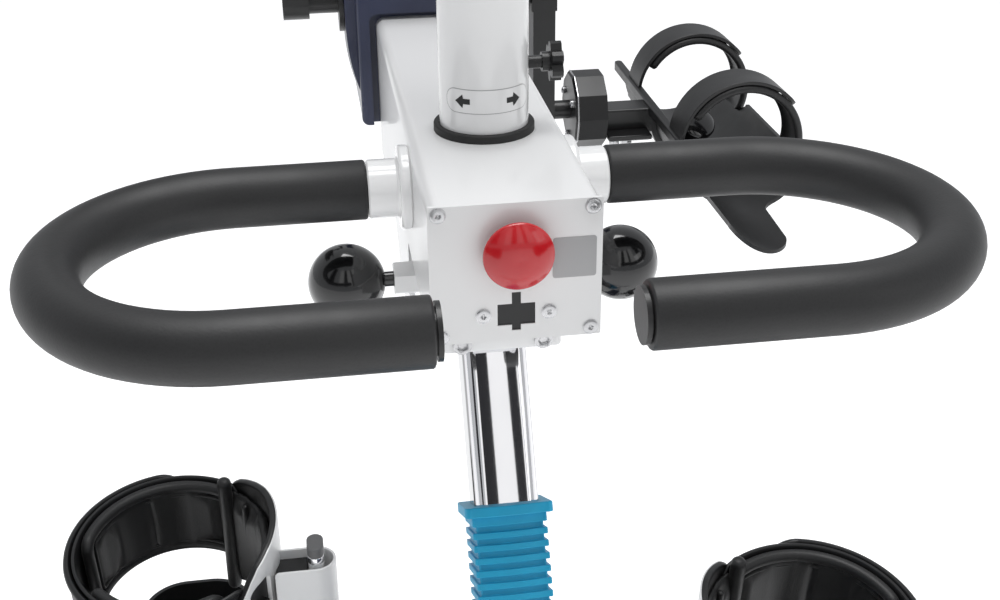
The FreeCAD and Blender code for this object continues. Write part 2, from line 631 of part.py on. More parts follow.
def make_mast_block():
    """Clamp block under the beam, with the bosses of the two ball knobs."""
    clamp = new_body("mast_block")
    depth = "block_drop - beam_height / 2"
    side = sketch_on(clamp, "YZ_Plane", name="side")
    rectangle(side, "block_front", "0 - block_drop", "block_rear - block_front", depth)
    pad(clamp, side, "block_width", symmetric=True)
    soften(clamp, "block_round", lambda edge: edge.CenterOfMass.z < -size("beam_height / 2") - 1)
    boss = sketch_on(clamp, "YZ_Plane", name="boss")
    circle(boss, "knob_boss_radius", "knob_axis_y", "knob_axis_z")
    pad(clamp, boss, "2 * knob_boss_end", symmetric=True)
    nut = sketch_on(clamp, "YZ_Plane", name="nut")
    reach = size("knob_nut_flats") / math.sqrt(3)
    outline(nut, [(size("knob_axis_y") + reach * math.sin(math.radians(60 * turn)),
                   size("knob_axis_z") + reach * math.cos(math.radians(60 * turn)))
                  for turn in range(6)])
    pad(clamp, nut, "2 * knob_nut_end", symmetric=True)
    bore = sketch_on(clamp, "XY_Plane", name="mast_bore")
    rounded_square(bore, "mast_width", "mast_round")
    tilt = size("mast_tilt")
    top = size("mast_top_drop")
    crossing = Vector(0, size("mast_cross_y"), -size("beam_height / 2"))
    turn = Rotation(Vector(-1, 0, 0), tilt)
    bore.AttachmentOffset = Placement(crossing - turn.multVec(ALONG_Z) * top, turn)
    pocket(clamp, bore)
    cross = sketch_on(clamp, "YZ_Plane", name="stud_bore")
    circle(cross, "stud_radius + shaft_gap", "knob_axis_y", "knob_axis_z")
    pocket(clamp, cross, "4 * knob_nut_end", symmetric=True)
    seats = sketch_on(clamp, "XZ_Plane", "0 - block_front", "screw_seats")
    for x in ("block_screw_x", "0 - block_screw_x"):
        circle(seats, "block_screw_head + shaft_gap", x, "block_screw_z")
    pocket(clamp, seats, "screw_head_height + block_round")
    node(on_head(clamp))


def make_front_plate():
    plate = new_body("front_plate")
    face = sketch_on(plate, "XZ_Plane")
    middle_rectangle(face, "beam_width", "beam_height")
    circle(face, "stop_body_radius + shaft_gap", y="stop_z")
    for x in ("corner_screw_x", "0 - corner_screw_x"):
        for z in ("corner_screw_z", "0 - corner_screw_z"):
            circle(face, "screw_shank_radius + shaft_gap", x, z)
    for x in ("middle_screw_x", "0 - middle_screw_x"):
        circle(face, "screw_shank_radius + shaft_gap", x, "middle_screw_z")
    pad(plate, face, "plate_thick", reverse=True)
    soften(plate, "1", lambda edge: runs_along(edge, ALONG_Y)
           and abs(edge.CenterOfMass.x) > size("beam_width") / 2 - 0.01)
    slot = sketch_on(plate, "XZ_Plane", name="slot")
    middle_rectangle(slot, "insert_width", "insert_height", y="insert_z")
    pocket(plate, slot)
    bar = sketch_on(plate, "XZ_Plane", name="bar_slot")
    rectangle(bar, "0 - insert_bar / 2", "insert_bar_foot", "insert_bar",
              "insert_bar_top - insert_bar_foot")
    pocket(plate, bar)
    node(on_head(plate))

    insert = new_body("socket_insert")
    cross = sketch_on(insert, "XZ_Plane", "0 - insert_recess", "cross")
    middle_rectangle(cross, "insert_width", "insert_height", y="insert_z")
    pad(insert, cross, "insert_depth", reverse=True)
    bar = sketch_on(insert, "XZ_Plane", "0 - insert_recess", "bar")
    rectangle(bar, "0 - insert_bar / 2", "insert_bar_foot", "insert_bar",
              "insert_bar_top - insert_bar_foot")
    pad(insert, bar, "plate_thick", reverse=True)
    flange = sketch_on(insert, "XZ_Plane", "0 - plate_thick", "flange")
    middle_rectangle(flange, "2 * middle_screw_x + 10", "insert_height + 2", y="insert_z")
    pad(insert, flange, "insert_flange", reverse=True)
    taps = sketch_on(insert, "XZ_Plane", "0 - plate_thick", "taps")
    for x in ("middle_screw_x", "0 - middle_screw_x"):
        circle(taps, "screw_shank_radius", x, "middle_screw_z")
    pocket(insert, taps, "insert_flange + 1")
    node(on_head(insert))


def make_screw(name, head_radius, shank_radius, x, z, face):
    """Round-headed screw pointing along +Y, its head on a face."""
    head = cylinder(f"{name}_head", head_radius, "screw_head_height", ALONG_Y, x=x, z=z,
                    y=f"( {face} ) - screw_head_height")
    shank = cylinder(f"{name}_shank", shank_radius, "screw_length", ALONG_Y, x=x, z=z, y=face)
    return on_head(joined(name, [head, shank]))


def make_head_screws():
    screws = []
    for index, (x, z) in enumerate((("0 - corner_screw_x", "corner_screw_z"),
                                    ("corner_screw_x", "corner_screw_z"),
                                    ("0 - corner_screw_x", "0 - corner_screw_z"),
                                    ("corner_screw_x", "0 - corner_screw_z"),
                                    ("0 - middle_screw_x", "middle_screw_z"),
                                    ("middle_screw_x", "middle_screw_z"))):
        screws.append(make_screw(f"plate_screw_{index}", "screw_head_radius",
                                 "screw_shank_radius", x, z, "0"))
    for index, x in enumerate(("0 - block_screw_x", "block_screw_x")):
        head = cylinder(f"socket_head_{index}", "block_screw_head",
                        "screw_head_height + block_round", ALONG_Y, x=x, z="block_screw_z",
                        y="block_front")
        key = doc.addObject("Part::Prism", f"socket_key_{index}")
        bind(key, Circumradius="block_screw_key", Height="block_round")
        key.Placement = Placement(Vector(), Rotation(ALONG_Z, ALONG_Y))
        bind(key, Placement__Base__x=x, Placement__Base__y="block_front",
             Placement__Base__z="block_screw_z")
        screws.append(on_head(cut_from(f"block_screw_{index}", head, key)))
    return group("head_screws", screws)


def make_stop_switch():
    switch = new_body("stop_switch")
    half = sketch_on(switch, "YZ_Plane")
    body, collar = size("stop_body_radius"), size("stop_collar_radius")
    bore = size("stop_stem_radius + shaft_gap")
    lip, depth = size("stop_collar_height"), size("stop_body_depth")
    outline(half, [(-lip, bore), (-lip, collar - 1.5), (-lip + 1.5, collar), (0, collar), (0, body),
                   (depth, body), (depth, 0), (depth - 6, 0), (depth - 6, bore)])
    spin(switch, half, "H_Axis")
    node(place(switch, y="head_back", z="head_height + stop_z"))

    button = new_body("stop_button")
    half = sketch_on(button, "YZ_Plane")
    rim, face, radius = size("stop_rim"), size("stop_face"), size("stop_radius")
    stem, tip = size("stop_stem_radius"), size("stop_body_depth - 6 - stop_travel - 1")
    outline(half, [(-face, 0), (-face + 1.6, radius * 0.62, 0), (-face + 5.5, radius - 1.2),
                   (-rim - 2, radius, 0), (-rim, radius - 1.4), (-rim, stem), (tip, stem),
                   (tip, 0)])
    spin(button, half, "H_Axis")
    node(place(button, y="head_back", z="head_height + stop_z"))


def make_handle_mounts():
    """Turned sockets on the beam's sides that hold the two handlebars."""
    mounts = []
    right = new_body("handle_mount_right")
    half = sketch_on(right, "XY_Plane")
    wall = size("beam_width") / 2
    flange, sleeve = size("flange_radius"), size("sleeve_radius")
    edge, end = wall + size("flange_thick"), size("sleeve_end")
    bend, bore = size("flange_round"), size("handle_radius + shaft_gap")
    floor = size("handle_root - shaft_gap")
    outline(half, [(wall, 0), (wall, flange - 1), (wall + 1, flange), (edge - bend, flange),
                   (edge - bend * 0.3, flange - bend * 0.3, 0), (edge, flange - bend),
                   (edge, sleeve + 1.5), (edge + 1.5, sleeve), (end - 1, sleeve),
                   (end, sleeve - 1), (end, bore), (floor, bore), (floor, 0)])
    spin(right, half, "H_Axis")
    place(right, y="head_back + mount_axis_y", z="head_height + mount_axis_z")
    left = doc.addObject("Part::Mirroring", "handle_mount_left")
    left.Source = right
    left.Normal = ALONG_X
    mounts = [right, left]
    return group("handle_mounts", mounts)


def make_handlebars():
    spine = doc.addObject("Sketcher::SketchObject", "handle_line")
    root, turn_x = size("handle_root"), size("bend_x")
    reach, near = size("handle_reach"), size("near_end")
    outer = turn_x + reach
    spine.addGeometry(Part.LineSegment(Vector(root, 0), Vector(turn_x, 0)), False)
    spine.addGeometry(Part.Arc(Vector(turn_x, 0), Vector(outer, -reach),
                               Vector(turn_x, -2 * reach)), False)
    spine.addGeometry(Part.LineSegment(Vector(turn_x, -2 * reach), Vector(near, -2 * reach)), False)
    foam_line = doc.addObject("Sketcher::SketchObject", "foam_line")
    start, end = size("foam_start"), size("foam_end")
    foam_line.addGeometry(Part.LineSegment(Vector(start, 0), Vector(turn_x, 0)), False)
    foam_line.addGeometry(Part.Arc(Vector(turn_x, 0), Vector(outer, -reach),
                                   Vector(turn_x, -2 * reach)), False)
    foam_line.addGeometry(Part.LineSegment(Vector(turn_x, -2 * reach), Vector(end, -2 * reach)),
                          False)

    def swept(label, line, radius, start_x):
        ring = doc.addObject("Part::Circle", f"{label}_section")
        bind(ring, Radius=radius)
        ring.Placement = Placement(Vector(size(start_x), 0, 0), Rotation(ALONG_Z, ALONG_X))
        bind(ring, Placement__Base__x=start_x)
        pipe = doc.addObject("Part::Sweep", label)
        pipe.Sections = [ring]
        pipe.Spine = (line, ["Edge1", "Edge2", "Edge3"])
        pipe.Solid = True
        return pipe

    tube = swept("handle_rod", spine, "handle_radius", "handle_root")
    hollow = swept("handle_hollow", spine, "handle_radius - handle_wall", "handle_root")
    pipe = cut_from("handle_pipe", tube, hollow)
    plug = cylinder("end_plug", "end_plug_radius", "end_plug_thick", ALONG_X,
                    x="near_end - end_plug_thick", y="0 - 2 * handle_reach")
    right = joined("handle_tube_right", [pipe, plug])
    place(right, y="head_back + mount_axis_y", z="head_height + mount_axis_z")
    node(right)
    mirrored(right, "handle_tube_left")
    foam = cut_from("handle_foam_right", swept("foam_rod", foam_line, "foam_radius", "foam_start"),
                    swept("foam_bore", foam_line, "handle_radius", "foam_start"))
    place(foam, y="head_back + mount_axis_y", z="head_height + mount_axis_z")
    node(foam)
    mirrored(foam, "handle_foam_left")


def make_ball_knobs():
    knob = new_body("ball_knob_right")
    half = sketch_on(knob, "XY_Plane")
    centre, ball, face = size("knob_centre"), size("knob_radius"), size("knob_face")
    stud, tip = size("stud_radius"), size("mast_width / 2 + rest_gap")
    edge = math.sqrt(ball ** 2 - (centre - face) ** 2)
    outline(half, [(tip, 0), (tip, stud), (face, stud), (face, edge),
                   (centre, ball, 0), (centre + ball, 0)])
    spin(knob, half, "H_Axis")
    place(knob, y="head_back + knob_axis_y", z="head_height + knob_axis_z")
    node(knob)
    mirrored(knob, "ball_knob_left")


# --- column and panel ----------------------------------------------------------------------------

def make_column():
    ring = new_body("column_ring")
    band = sketch_on(ring, "XY_Plane", "beam_height / 2")
    circle(band, "ring_radius", y="column_y")
    circle(band, "column_radius + rest_gap", y="column_y")
    pad(ring, band, "ring_height")
    soften(ring, "1.2", lambda edge: edge.CenterOfMass.z > size("beam_height / 2 + ring_height")
           - 0.01 and edge.BoundBox.XLength > 2 * size("ring_radius") - 1)
    node(on_head(ring))

    column = new_body("swivel_column")
    half = sketch_on(column, "XZ_Plane")
    base = size("beam_height / 2 + rest_gap")
    outer, bore, top = size("column_radius"), size("column_bore"), size("column_top")
    outline(half, [(bore, base), (outer, base), (outer, top - 2), (outer - 2, top), (bore, top)])
    spin(column, half, "V_Axis")
    port = sketch_on(column, "YZ_Plane", name="clamp_port")
    circle(port, "clamp_rod + shaft_gap", y="clamp_z")
    pocket(column, port, "2 * column_radius", reverse=True)
    node(place(column, y="head_back + column_y", z="head_height"))

    inner = new_body("column_inner_tube")
    wall = sketch_on(inner, "XY_Plane", "inner_column_foot")
    circle(wall, "column_bore - shaft_gap")
    circle(wall, "column_bore - shaft_gap - frame_wall")
    pad(inner, wall, "inner_column_top - inner_column_foot")
    node(place(inner, y="head_back + column_y", z="head_height"))

    panel = new_body("panel_case")
    face = sketch_on(panel, "XZ_Plane")
    middle_rectangle(face, "panel_width", "panel_height", y="panel_height / 2")
    pad(panel, face, "panel_depth", symmetric=True)
    soften(panel, "panel_round", lambda edge: runs_along(edge, ALONG_Y))
    soften(panel, "3", lambda edge: abs(abs(edge.CenterOfMass.y) - size("panel_depth") / 2) < 0.01)
    screen = sketch_on(panel, "XZ_Plane", "panel_depth / 2", "screen")
    middle_rectangle(screen, "panel_width - 2 * screen_margin", "panel_height - 2 * screen_margin",
                     y="panel_height / 2")
    pocket(panel, screen, "screen_recess")
    place(panel, y="head_back + column_y", z="head_height + inner_column_top + panel_rise",
          axis=Vector(-1, 0, 0), angle="panel_tilt")
    boss = cylinder("panel_boss", "boss_radius", "boss_height", y="head_back + column_y",
                    z="head_height + boss_foot")
    socket = cylinder("panel_socket", "column_bore - shaft_gap", "inner_column_top - boss_foot",
                      y="head_back + column_y", z="head_height + boss_foot")
    node(cut_from("control_panel", joined("panel_with_boss", [panel, boss]), socket))

    knob = new_body("star_knob")
    half = sketch_on(knob, "XZ_Plane")
    rod, rod_end = size("clamp_rod"), size("clamp_rod_end")
    hub, hub_end = size("clamp_hub_radius"), size("clamp_hub_end")
    wing_end, tip = size("clamp_wing_end"), size("column_bore + shaft_gap")
    outline(half, [(tip, 0), (tip, rod), (rod_end, rod), (rod_end, hub), (hub_end, hub),
                   (hub_end, hub + 2), (wing_end - 1, hub + 2), (wing_end, hub + 1), (wing_end, 0)])
    spin(knob, half, "H_Axis")
    star = sketch_on(knob, "YZ_Plane", "clamp_hub_end", "star")
    wing, lobes = size("clamp_wing_radius"), int(size("clamp_lobes"))
    points = []
    for lobe in range(lobes):
        for part, radius in ((-0.22, wing), (0, wing + 0.6), (0.22, wing), (0.5, wing * 0.74)):
            angle = 2 * math.pi * (lobe + part) / lobes
            points.append((radius * math.sin(angle), radius * math.cos(angle)))
    outline(star, points)
    pad(knob, star, "clamp_wing_end - clamp_hub_end")
    node(place(knob, y="head_back + column_y", z="head_height + clamp_z"))


# --- arm drive and forearm carriers ----------------------------------------------------------------

def on_arm_axis(target):
    return place(target, y="head_back + arm_axis_y", z="head_height + arm_axis_z")


def make_arm_drive():
    """Cover with a dished boss round the crank shaft on each side, and the gear motor under it."""
    cover = new_body("arm_drive_housing")
    front, rear = size("beam_end - arm_axis_y"), size("beam_end + drive_length - arm_axis_y")
    low, top = size("drive_foot - arm_axis_z"), size("drive_top - arm_axis_z")
    side = sketch_on(cover, "YZ_Plane", name="side")
    rectangle(side, "beam_end - arm_axis_y", "drive_foot - arm_axis_z", "drive_length",
              "drive_top - drive_foot")
    pad(cover, side, "2 * hub_end", symmetric=True)
    soften(cover, "3 * drive_round", lambda edge: runs_along(edge, ALONG_X)
           and edge.CenterOfMass.z > top - 0.01 and edge.CenterOfMass.y > 0)
    wall, hub, far = size("drive_width / 2"), size("hub_radius"), size("hub_end") + 1
    dome, rise = size("dome_radius"), size("dome_rise")
    waste = sketch_on(cover, "XY_Plane", name="waste")
    for sign in (1, -1):
        outline(waste, [(sign * far, hub), (sign * far, 2 * dome), (sign * wall, 2 * dome),
                        (sign * wall, dome),
                        (sign * (wall + rise * 0.7), (dome + hub) / 2 + 2, 0),
                        (sign * (wall + rise), hub)])
    spin(cover, waste, "H_Axis", cut=True)
    soften(cover, "drive_round", lambda edge: runs_along(edge, ALONG_Y)
           and abs(abs(edge.CenterOfMass.x) - wall) < 0.01 and edge.CenterOfMass.z < 0)
    inside = sketch_on(cover, "XY_Plane", "drive_foot - arm_axis_z", "inside")
    rectangle(inside, "drive_wall - drive_width / 2", "beam_end - arm_axis_y + drive_wall",
              "drive_width - 2 * drive_wall", "drive_length - 2 * drive_wall")
    pocket(cover, inside, "drive_top - drive_foot - drive_wall", reverse=True)
    rim = sketch_on(cover, "XZ_Plane", "arm_axis_y - beam_end", "rim")
    side_in, gap = wall - size("rim_side"), size("rim_gap_top - arm_axis_z")
    bend = size("rim_round")
    corner = bend * (1 - math.sqrt(0.5))
    outline(rim, [(wall, low + bend), (wall, top), (-wall, top), (-wall, low + bend),
                  (corner - wall, low + corner, 0), (bend - wall, low), (-side_in, low),
                  (-side_in, gap - bend), (corner - side_in, gap - corner, 0),
                  (bend - side_in, gap), (side_in - bend, gap),
                  (side_in - corner, gap - corner, 0), (side_in, gap - bend), (side_in, low),
                  (wall - bend, low), (wall - corner, low + corner, 0)])
    pad(cover, rim, "rim_depth")
    soften(cover, "2", lambda edge: edge.CenterOfMass.y < front - size("rim_depth") + 0.01
           and (abs(edge.CenterOfMass.x) > wall - 0.01 or edge.CenterOfMass.z > top - 0.01))
    mouth = sketch_on(cover, "XZ_Plane", "arm_axis_y - beam_end", "mouth")
    middle_rectangle(mouth, "gearmotor_width + 4", "beam_height / 2 - drive_foot",
                     y="( beam_height / 2 + drive_foot ) / 2 - arm_axis_z")
    pocket(cover, mouth, "drive_wall + 1")
    bore = sketch_on(cover, "YZ_Plane", name="bore")
    circle(bore, "arm_shaft_radius + shaft_gap")
    pocket(cover, bore, "2 * hub_end + 2", symmetric=True)
    node(on_arm_axis(cover))

    motor = new_body("arm_gearmotor")
    block_side = sketch_on(motor, "YZ_Plane")
    length, rise = size("gearmotor_length"), size("gearmotor_rise")
    ledge = size("beam_height / 2 - arm_axis_z - rest_gap")
    inner = front + size("drive_wall + rest_gap")
    outline(block_side, [(front, -rise), (front + length, -rise), (front + length, rise),
                         (inner, rise), (inner, ledge), (front, ledge)])
    pad(motor, block_side, "gearmotor_width", symmetric=True)
    soften(motor, "3", lambda edge: runs_along(edge, ALONG_X)
           and edge.CenterOfMass.y > front + length - 0.01)
    hole = sketch_on(motor, "YZ_Plane", name="hole")
    circle(hole, "arm_shaft_radius + shaft_gap")
    pocket(motor, hole, "gearmotor_width + 2", symmetric=True)
    node(on_arm_axis(motor))

    where = {"y": "head_back + arm_axis_y", "z": "head_height + arm_axis_z"}
    rod = cylinder("arm_shaft_rod", "arm_shaft_radius", "2 * arm_bar_end - 4 + left_arm_shift",
                   ALONG_X, x="2 - arm_bar_end - left_arm_shift", **where)
    seals = [cylinder(f"shaft_seal_{side}", "seal_radius", "seal_end - seal_start", ALONG_X,
                      x=start, **where)
             for side, start in (("left", "0 - seal_end"), ("right", "seal_start"))]
    node(joined("arm_crank_shaft", [rod] + seals))


def make_arm_cranks():
    """Right crank hanging down, drawn about the crank axis; the left one stands up."""
    crank = new_body("arm_crank_right")
    half, reach = size("arm_bar_depth / 2"), size("arm_crank_reach")
    inset, sleeve, over = size("arm_bar_inset"), size("arm_sleeve_reach"), size("arm_bar_over")
    hub = sketch_on(crank, "YZ_Plane", "arm_bar_start", "hub")
    outline(hub, [(-half - inset, 0), (0, half + inset, 0), (half + inset, 0),
                  (half + inset, -sleeve), (-half - inset, -sleeve)])
    pad(crank, hub, "arm_bar_end - arm_bar_start")
    bar = sketch_on(crank, "YZ_Plane", "arm_bar_start + arm_bar_inset", "bar")
    outline(bar, [(-half, 0), (half, 0), (half, 4 - reach - over), (half - 4, -reach - over),
                  (4 - half, -reach - over), (-half, 4 - reach - over)])
    pad(crank, bar, "arm_bar_end - arm_bar_start - 2 * arm_bar_inset")
    bore = sketch_on(crank, "YZ_Plane", "arm_bar_start", "bore")
    circle(bore, "arm_shaft_radius")
    pocket(crank, bore, "arm_bar_end - arm_bar_start - 2", reverse=True)
    pin = sketch_on(crank, "YZ_Plane", "arm_bar_end - 6", "pin")
    circle(pin, "arm_pin_radius", y="0 - arm_crank_reach")
    pad(crank, pin, "arm_pin_end - arm_bar_end + 6")
    node(on_arm_axis(crank))
    turned = doc.addObject("Part::Mirroring", "arm_crank_left")
    flipped = doc.addObject("Part::Mirroring", "arm_crank_flipped")
    flipped.Source = crank
    flipped.Normal = ALONG_X
    turned.Source = flipped
    turned.Normal = ALONG_Z
    bind(turned, Base__z="head_height + arm_axis_z")
    node(place(turned, x="0 - left_arm_shift"))


def on_arm_pin(target):
    """Right forearm carrier's axle, at the low end of its crank."""
    return place(target, y="head_back + arm_axis_y",
                 z="head_height + arm_axis_z - arm_crank_reach")


def left_forearm(source, label):
    """Left twin of a piece of the right carrier, leaning back about its own raised axle."""
    pin_y = "( head_back + arm_axis_y )"
    pin_z = "( head_height + arm_axis_z - arm_crank_reach )"
    cosine, sine = "cos( left_arm_tilt )", "sin( left_arm_tilt )"
    mirrored(source, label, x="0 - left_arm_shift",
             y=f"{pin_y} - {pin_y} * {cosine} - {pin_z} * {sine}",
             z=f"{pin_z} + {pin_y} * {sine} - {pin_z} * {cosine} + 2 * arm_crank_reach",
             axis=Vector(-1, 0, 0), angle="left_arm_tilt")


def forearm_pair(target, left_label):
    node(on_arm_pin(target))
    left_forearm(target, left_label)


def around_trough(radius, height):
    """Distance from the trough's middle to its surface of a radius, at a height."""
    return math.sqrt(radius ** 2 - (height - size("trough_z")) ** 2)


def make_forearm_drum():
    drum = new_body("forearm_drum_right")
    section = sketch_on(drum, "YZ_Plane", "drum_start")
    radius, sides = size("drum_radius"), int(size("drum_sides"))
    outline(section, [(radius * math.sin(2 * math.pi * (side + 0.5) / sides),
                       radius * math.cos(2 * math.pi * (side + 0.5) / sides))
                      for side in range(sides)])
    pad(drum, section, "drum_end - drum_start")
    soften(drum, "drum_chamfer", lambda edge: edge.CenterOfMass.x < size("drum_start") + 0.01,
           kind="Chamfer")
    bore = sketch_on(drum, "YZ_Plane", "drum_start", "bore")
    circle(bore, "arm_pin_radius + shaft_gap")
    pocket(drum, bore, "arm_pin_end - drum_start + rest_gap", reverse=True)
    forearm_pair(drum, "forearm_drum_left")


def make_forearm_bracket():
    bracket = new_body("forearm_bracket_right")
    half = size("bracket_depth / 2")
    face = sketch_on(bracket, "XZ_Plane", "bracket_depth / 2")
    start, centre, axis = size("drum_end"), size("trough_x"), size("trough_z")
    inner, wall = size("trough_radius"), size("bracket_wall")
    high, low = size("bracket_top"), size("bracket_foot")
    outer = inner + wall

    def rim(radius, degrees):
        return (centre + radius * math.sin(math.radians(degrees)),
                axis - radius * math.cos(math.radians(degrees)))

    outline(face, [(start, low), (start, high), (centre - around_trough(inner, high), high),
                   rim(inner, -30) + (0,), rim(inner, 32), rim(outer, 32), rim(outer, -30) + (0,),
                   (centre - around_trough(outer, low), low)])
    pad(bracket, face, "bracket_depth", reverse=True)
    soften(bracket, "2", lambda edge: runs_along(edge, ALONG_X)
           and abs(abs(edge.CenterOfMass.y) - half) < 0.01)
    forearm_pair(bracket, "forearm_bracket_left")


def make_forearm_trough():
    """Half pipe for the forearm, with a leaf-shaped end towards the user."""
    trough = new_body("forearm_trough_right")
    centre, axis = size("trough_x"), size("trough_z")
    outer = size("trough_radius")
    inner = outer - size("trough_wall")
    left, right = axis + size("trough_left_rise"), axis - size("trough_right_drop")
    face = sketch_on(trough, "XZ_Plane", "0 - trough_near")
    outline(face, [(centre - around_trough(outer, left), left), (centre, axis - outer, 0),
                   (centre + around_trough(outer, right), right),
                   (centre + around_trough(inner, right), right), (centre, axis - inner, 0),
                   (centre - around_trough(inner, left), left)])
    pad(trough, face, "trough_far - trough_near", reverse=True)
    near, edge = size("trough_near"), outer + 1
    plan = sketch_on(trough, "XY_Plane", name="near_end")
    leaf = [(-edge, 100), (-42, 92, 0), (-36, 78), (-34, 30), (-28, 8, 0), (-13, 1), (3, 7, 0),
            (11, 26), (13, 77), (17, 84, 0), (24, 86), (38, 89, 0), (edge, 100), (edge, -1),
            (-edge, -1)]
    outline(plan, [(centre + point[0], near + point[1]) + point[2:] for point in leaf])
    pocket(trough, plan, symmetric=True)
    far = size("trough_far")
    tail = sketch_on(trough, "XY_Plane", name="far_end")
    left_tail = [(-edge, -30), (-44, -27), (-41, -12, 0), (-28, -2), (-20, 1), (-edge, 1)]
    right_tail = [(edge, -102), (45, -101), (43, -88, 0), (43, -70), (38, -30, 0), (20, -3),
                  (12, 1), (edge, 1)]
    for corner in (left_tail, right_tail):
        outline(tail, [(centre + point[0], far + point[1]) + point[2:] for point in corner])
    pocket(trough, tail, symmetric=True)
    forearm_pair(trough, "forearm_trough_left")


def make_forearm_straps():
    straps = []
    for name, start in (("near", "near_strap_y"), ("far", "far_strap_y")):
        strap = new_body(f"strap_{name}")
        ring = sketch_on(strap, "XZ_Plane", f"0 - ( {start} )")
        circle(ring, "strap_radius", "trough_x", "trough_z")
        circle(ring, "trough_radius + soft_gap", "trough_x", "trough_z")
        pad(strap, ring, "strap_width", symmetric=True)
        straps.append(on_arm_pin(strap))
    right = group("forearm_straps_right", straps)
    left_forearm(right, "forearm_straps_left")


# --- leg drive -----------------------------------------------------------------------------------

def make_leg_housing():
    shell = new_body("leg_housing_right")
    nose_y, nose_z = size("leg_axis_y"), size("leg_axis_z")
    floor = size("frame_floor_gap + spine_height")

    def profile(inset, foot):
        nose, bend = size("housing_nose") - inset, size("housing_round") - inset
        front, top = size("housing_front") + inset, nose_z + nose
        corner = math.sqrt(0.5) * bend
        return [(front, foot), (front, top - bend),
                (front + bend - corner, top - bend + corner, 0), (front + bend, top),
                (nose_y, top), (nose_y + math.sqrt(0.5) * nose, nose_z + math.sqrt(0.5) * nose, 0),
                (nose_y + nose, nose_z), (nose_y + nose, foot)]

    side = sketch_on(shell, "YZ_Plane", name="side")
    outline(side, profile(0, floor))
    pad(shell, side, "housing_width / 2")
    far = size("housing_width / 2")
    soften(shell, "housing_edge", lambda edge: abs(edge.CenterOfMass.x - far) < 0.01
           and edge.CenterOfMass.z > floor + 1)
    inside = sketch_on(shell, "YZ_Plane", name="inside")
    outline(inside, profile(size("housing_wall"), floor - 1))
    pocket(shell, inside, "housing_width / 2 - housing_wall", reverse=True)
    port = sketch_on(shell, "YZ_Plane", "housing_width / 2 + 1", "port")
    circle(port, "leg_shaft_radius + rest_gap", "leg_axis_y", "leg_axis_z")
    pocket(shell, port, "housing_wall + 2")
    node(shell)
    mirrored(shell, "leg_housing_left")


def on_leg_axis(target):
    return place(target, y="leg_axis_y", z="leg_axis_z")


def make_leg_drive():
    motor = new_body("leg_gearmotor")
    drum = sketch_on(motor, "YZ_Plane", name="drum")
    circle(drum, "leg_motor_radius")
    pad(motor, drum, "leg_gear_width", symmetric=True)
    soften(motor, "3", lambda edge: abs(abs(edge.CenterOfMass.x) - size("leg_gear_width / 2"))
           < 0.01)
    stand = sketch_on(motor, "YZ_Plane", name="stand")
    rectangle(stand, "0 - leg_pedestal", "frame_floor_gap + spine_height - leg_axis_z",
              "2 * leg_pedestal", "leg_axis_z - frame_floor_gap - spine_height - 20")
    pad(motor, stand, "leg_pedestal", symmetric=True)
    bore = sketch_on(motor, "YZ_Plane", name="bore")
    circle(bore, "leg_shaft_radius + shaft_gap")
    pocket(motor, bore, "leg_gear_width + 2", symmetric=True)
    node(on_leg_axis(motor))
    node(cylinder("leg_crank_shaft", "leg_shaft_radius",
                  "2 * ( leg_crank_start + leg_crank_thick ) - 4", ALONG_X,
                  x="2 - leg_crank_start - leg_crank_thick", y="leg_axis_y", z="leg_axis_z"))


def make_leg_crank(label, phase, start):
    """Tapering crank about the leg axis with its pin; phase is the pin's angle from +Y."""
    crank = new_body(label)
    hub, boss = size("leg_hub_radius"), size("leg_pin_boss")
    reach = size("leg_crank_reach")
    lean = math.degrees(math.acos((hub - boss) / reach))
    sign = 1 if label.endswith("right") else -1

    def spot(radius, degrees, along=0.0):
        turn, way = math.radians(degrees), math.radians(phase)
        return (along * math.cos(way) + radius * math.cos(turn),
                along * math.sin(way) + radius * math.sin(turn))

    arm = sketch_on(crank, "YZ_Plane", start)
    outline(arm, [spot(hub, phase + lean), spot(hub, phase + 180) + (0,),
                  spot(hub, phase - lean), spot(boss, phase - lean, reach),
                  spot(boss, phase, reach) + (0,), spot(boss, phase + lean, reach)])
    pad(crank, arm, "leg_crank_thick")
    soften(crank, "2", lambda edge: True)
    bore = sketch_on(crank, "YZ_Plane", start, "bore")
    circle(bore, "leg_shaft_radius")
    inner_side = start if sign > 0 else f"( {start} ) + leg_crank_thick"
    bind(bore, AttachmentOffset__Base__z=inner_side)
    pocket(crank, bore, "leg_crank_thick - 2", reverse=sign > 0)
    pin = sketch_on(crank, "YZ_Plane", name="pin")
    pin_turn = "leg_phase + 180" if sign > 0 else "leg_phase"
    circle(pin, "leg_pin_radius", f"leg_crank_reach * cos( {pin_turn} )",
           f"leg_crank_reach * sin( {pin_turn} )")
    near = "leg_crank_start + leg_crank_thick - 4"
    bind(pin, AttachmentOffset__Base__z=near if sign > 0 else f"0 - ( {near} )")
    pad(crank, pin, f"leg_pin_end - ( {near} )", reverse=sign < 0)
    node(on_leg_axis(crank))


# --- pedals and cuffs ----------------------------------------------------------------------------

def on_right_pedal(target):
    """Right pedal's axle, at the end of its crank towards the front."""
    return place(target, y="leg_axis_y - leg_crank_reach * cos( leg_phase )",
                 z="leg_axis_z - leg_crank_reach * sin( leg_phase )")


def pedal_pair(target, left_label):
    node(on_right_pedal(target))
    mirrored(target, left_label, y="2 * leg_crank_reach * cos( leg_phase )",
             z="2 * leg_crank_reach * sin( leg_phase )")


def rounded_rectangle(left, right, low, high, bend):
    corner = bend * (1 - math.sqrt(0.5))
    return [(left + bend, low), (right - bend, low), (right - corner, low + corner, 0),
            (right, low + bend), (right, high - bend), (right - corner, high - corner, 0),
            (right - bend, high), (left + bend, high), (left + corner, high - corner, 0),
            (left, high - bend), (left, low + bend), (left + corner, low + corner, 0)]


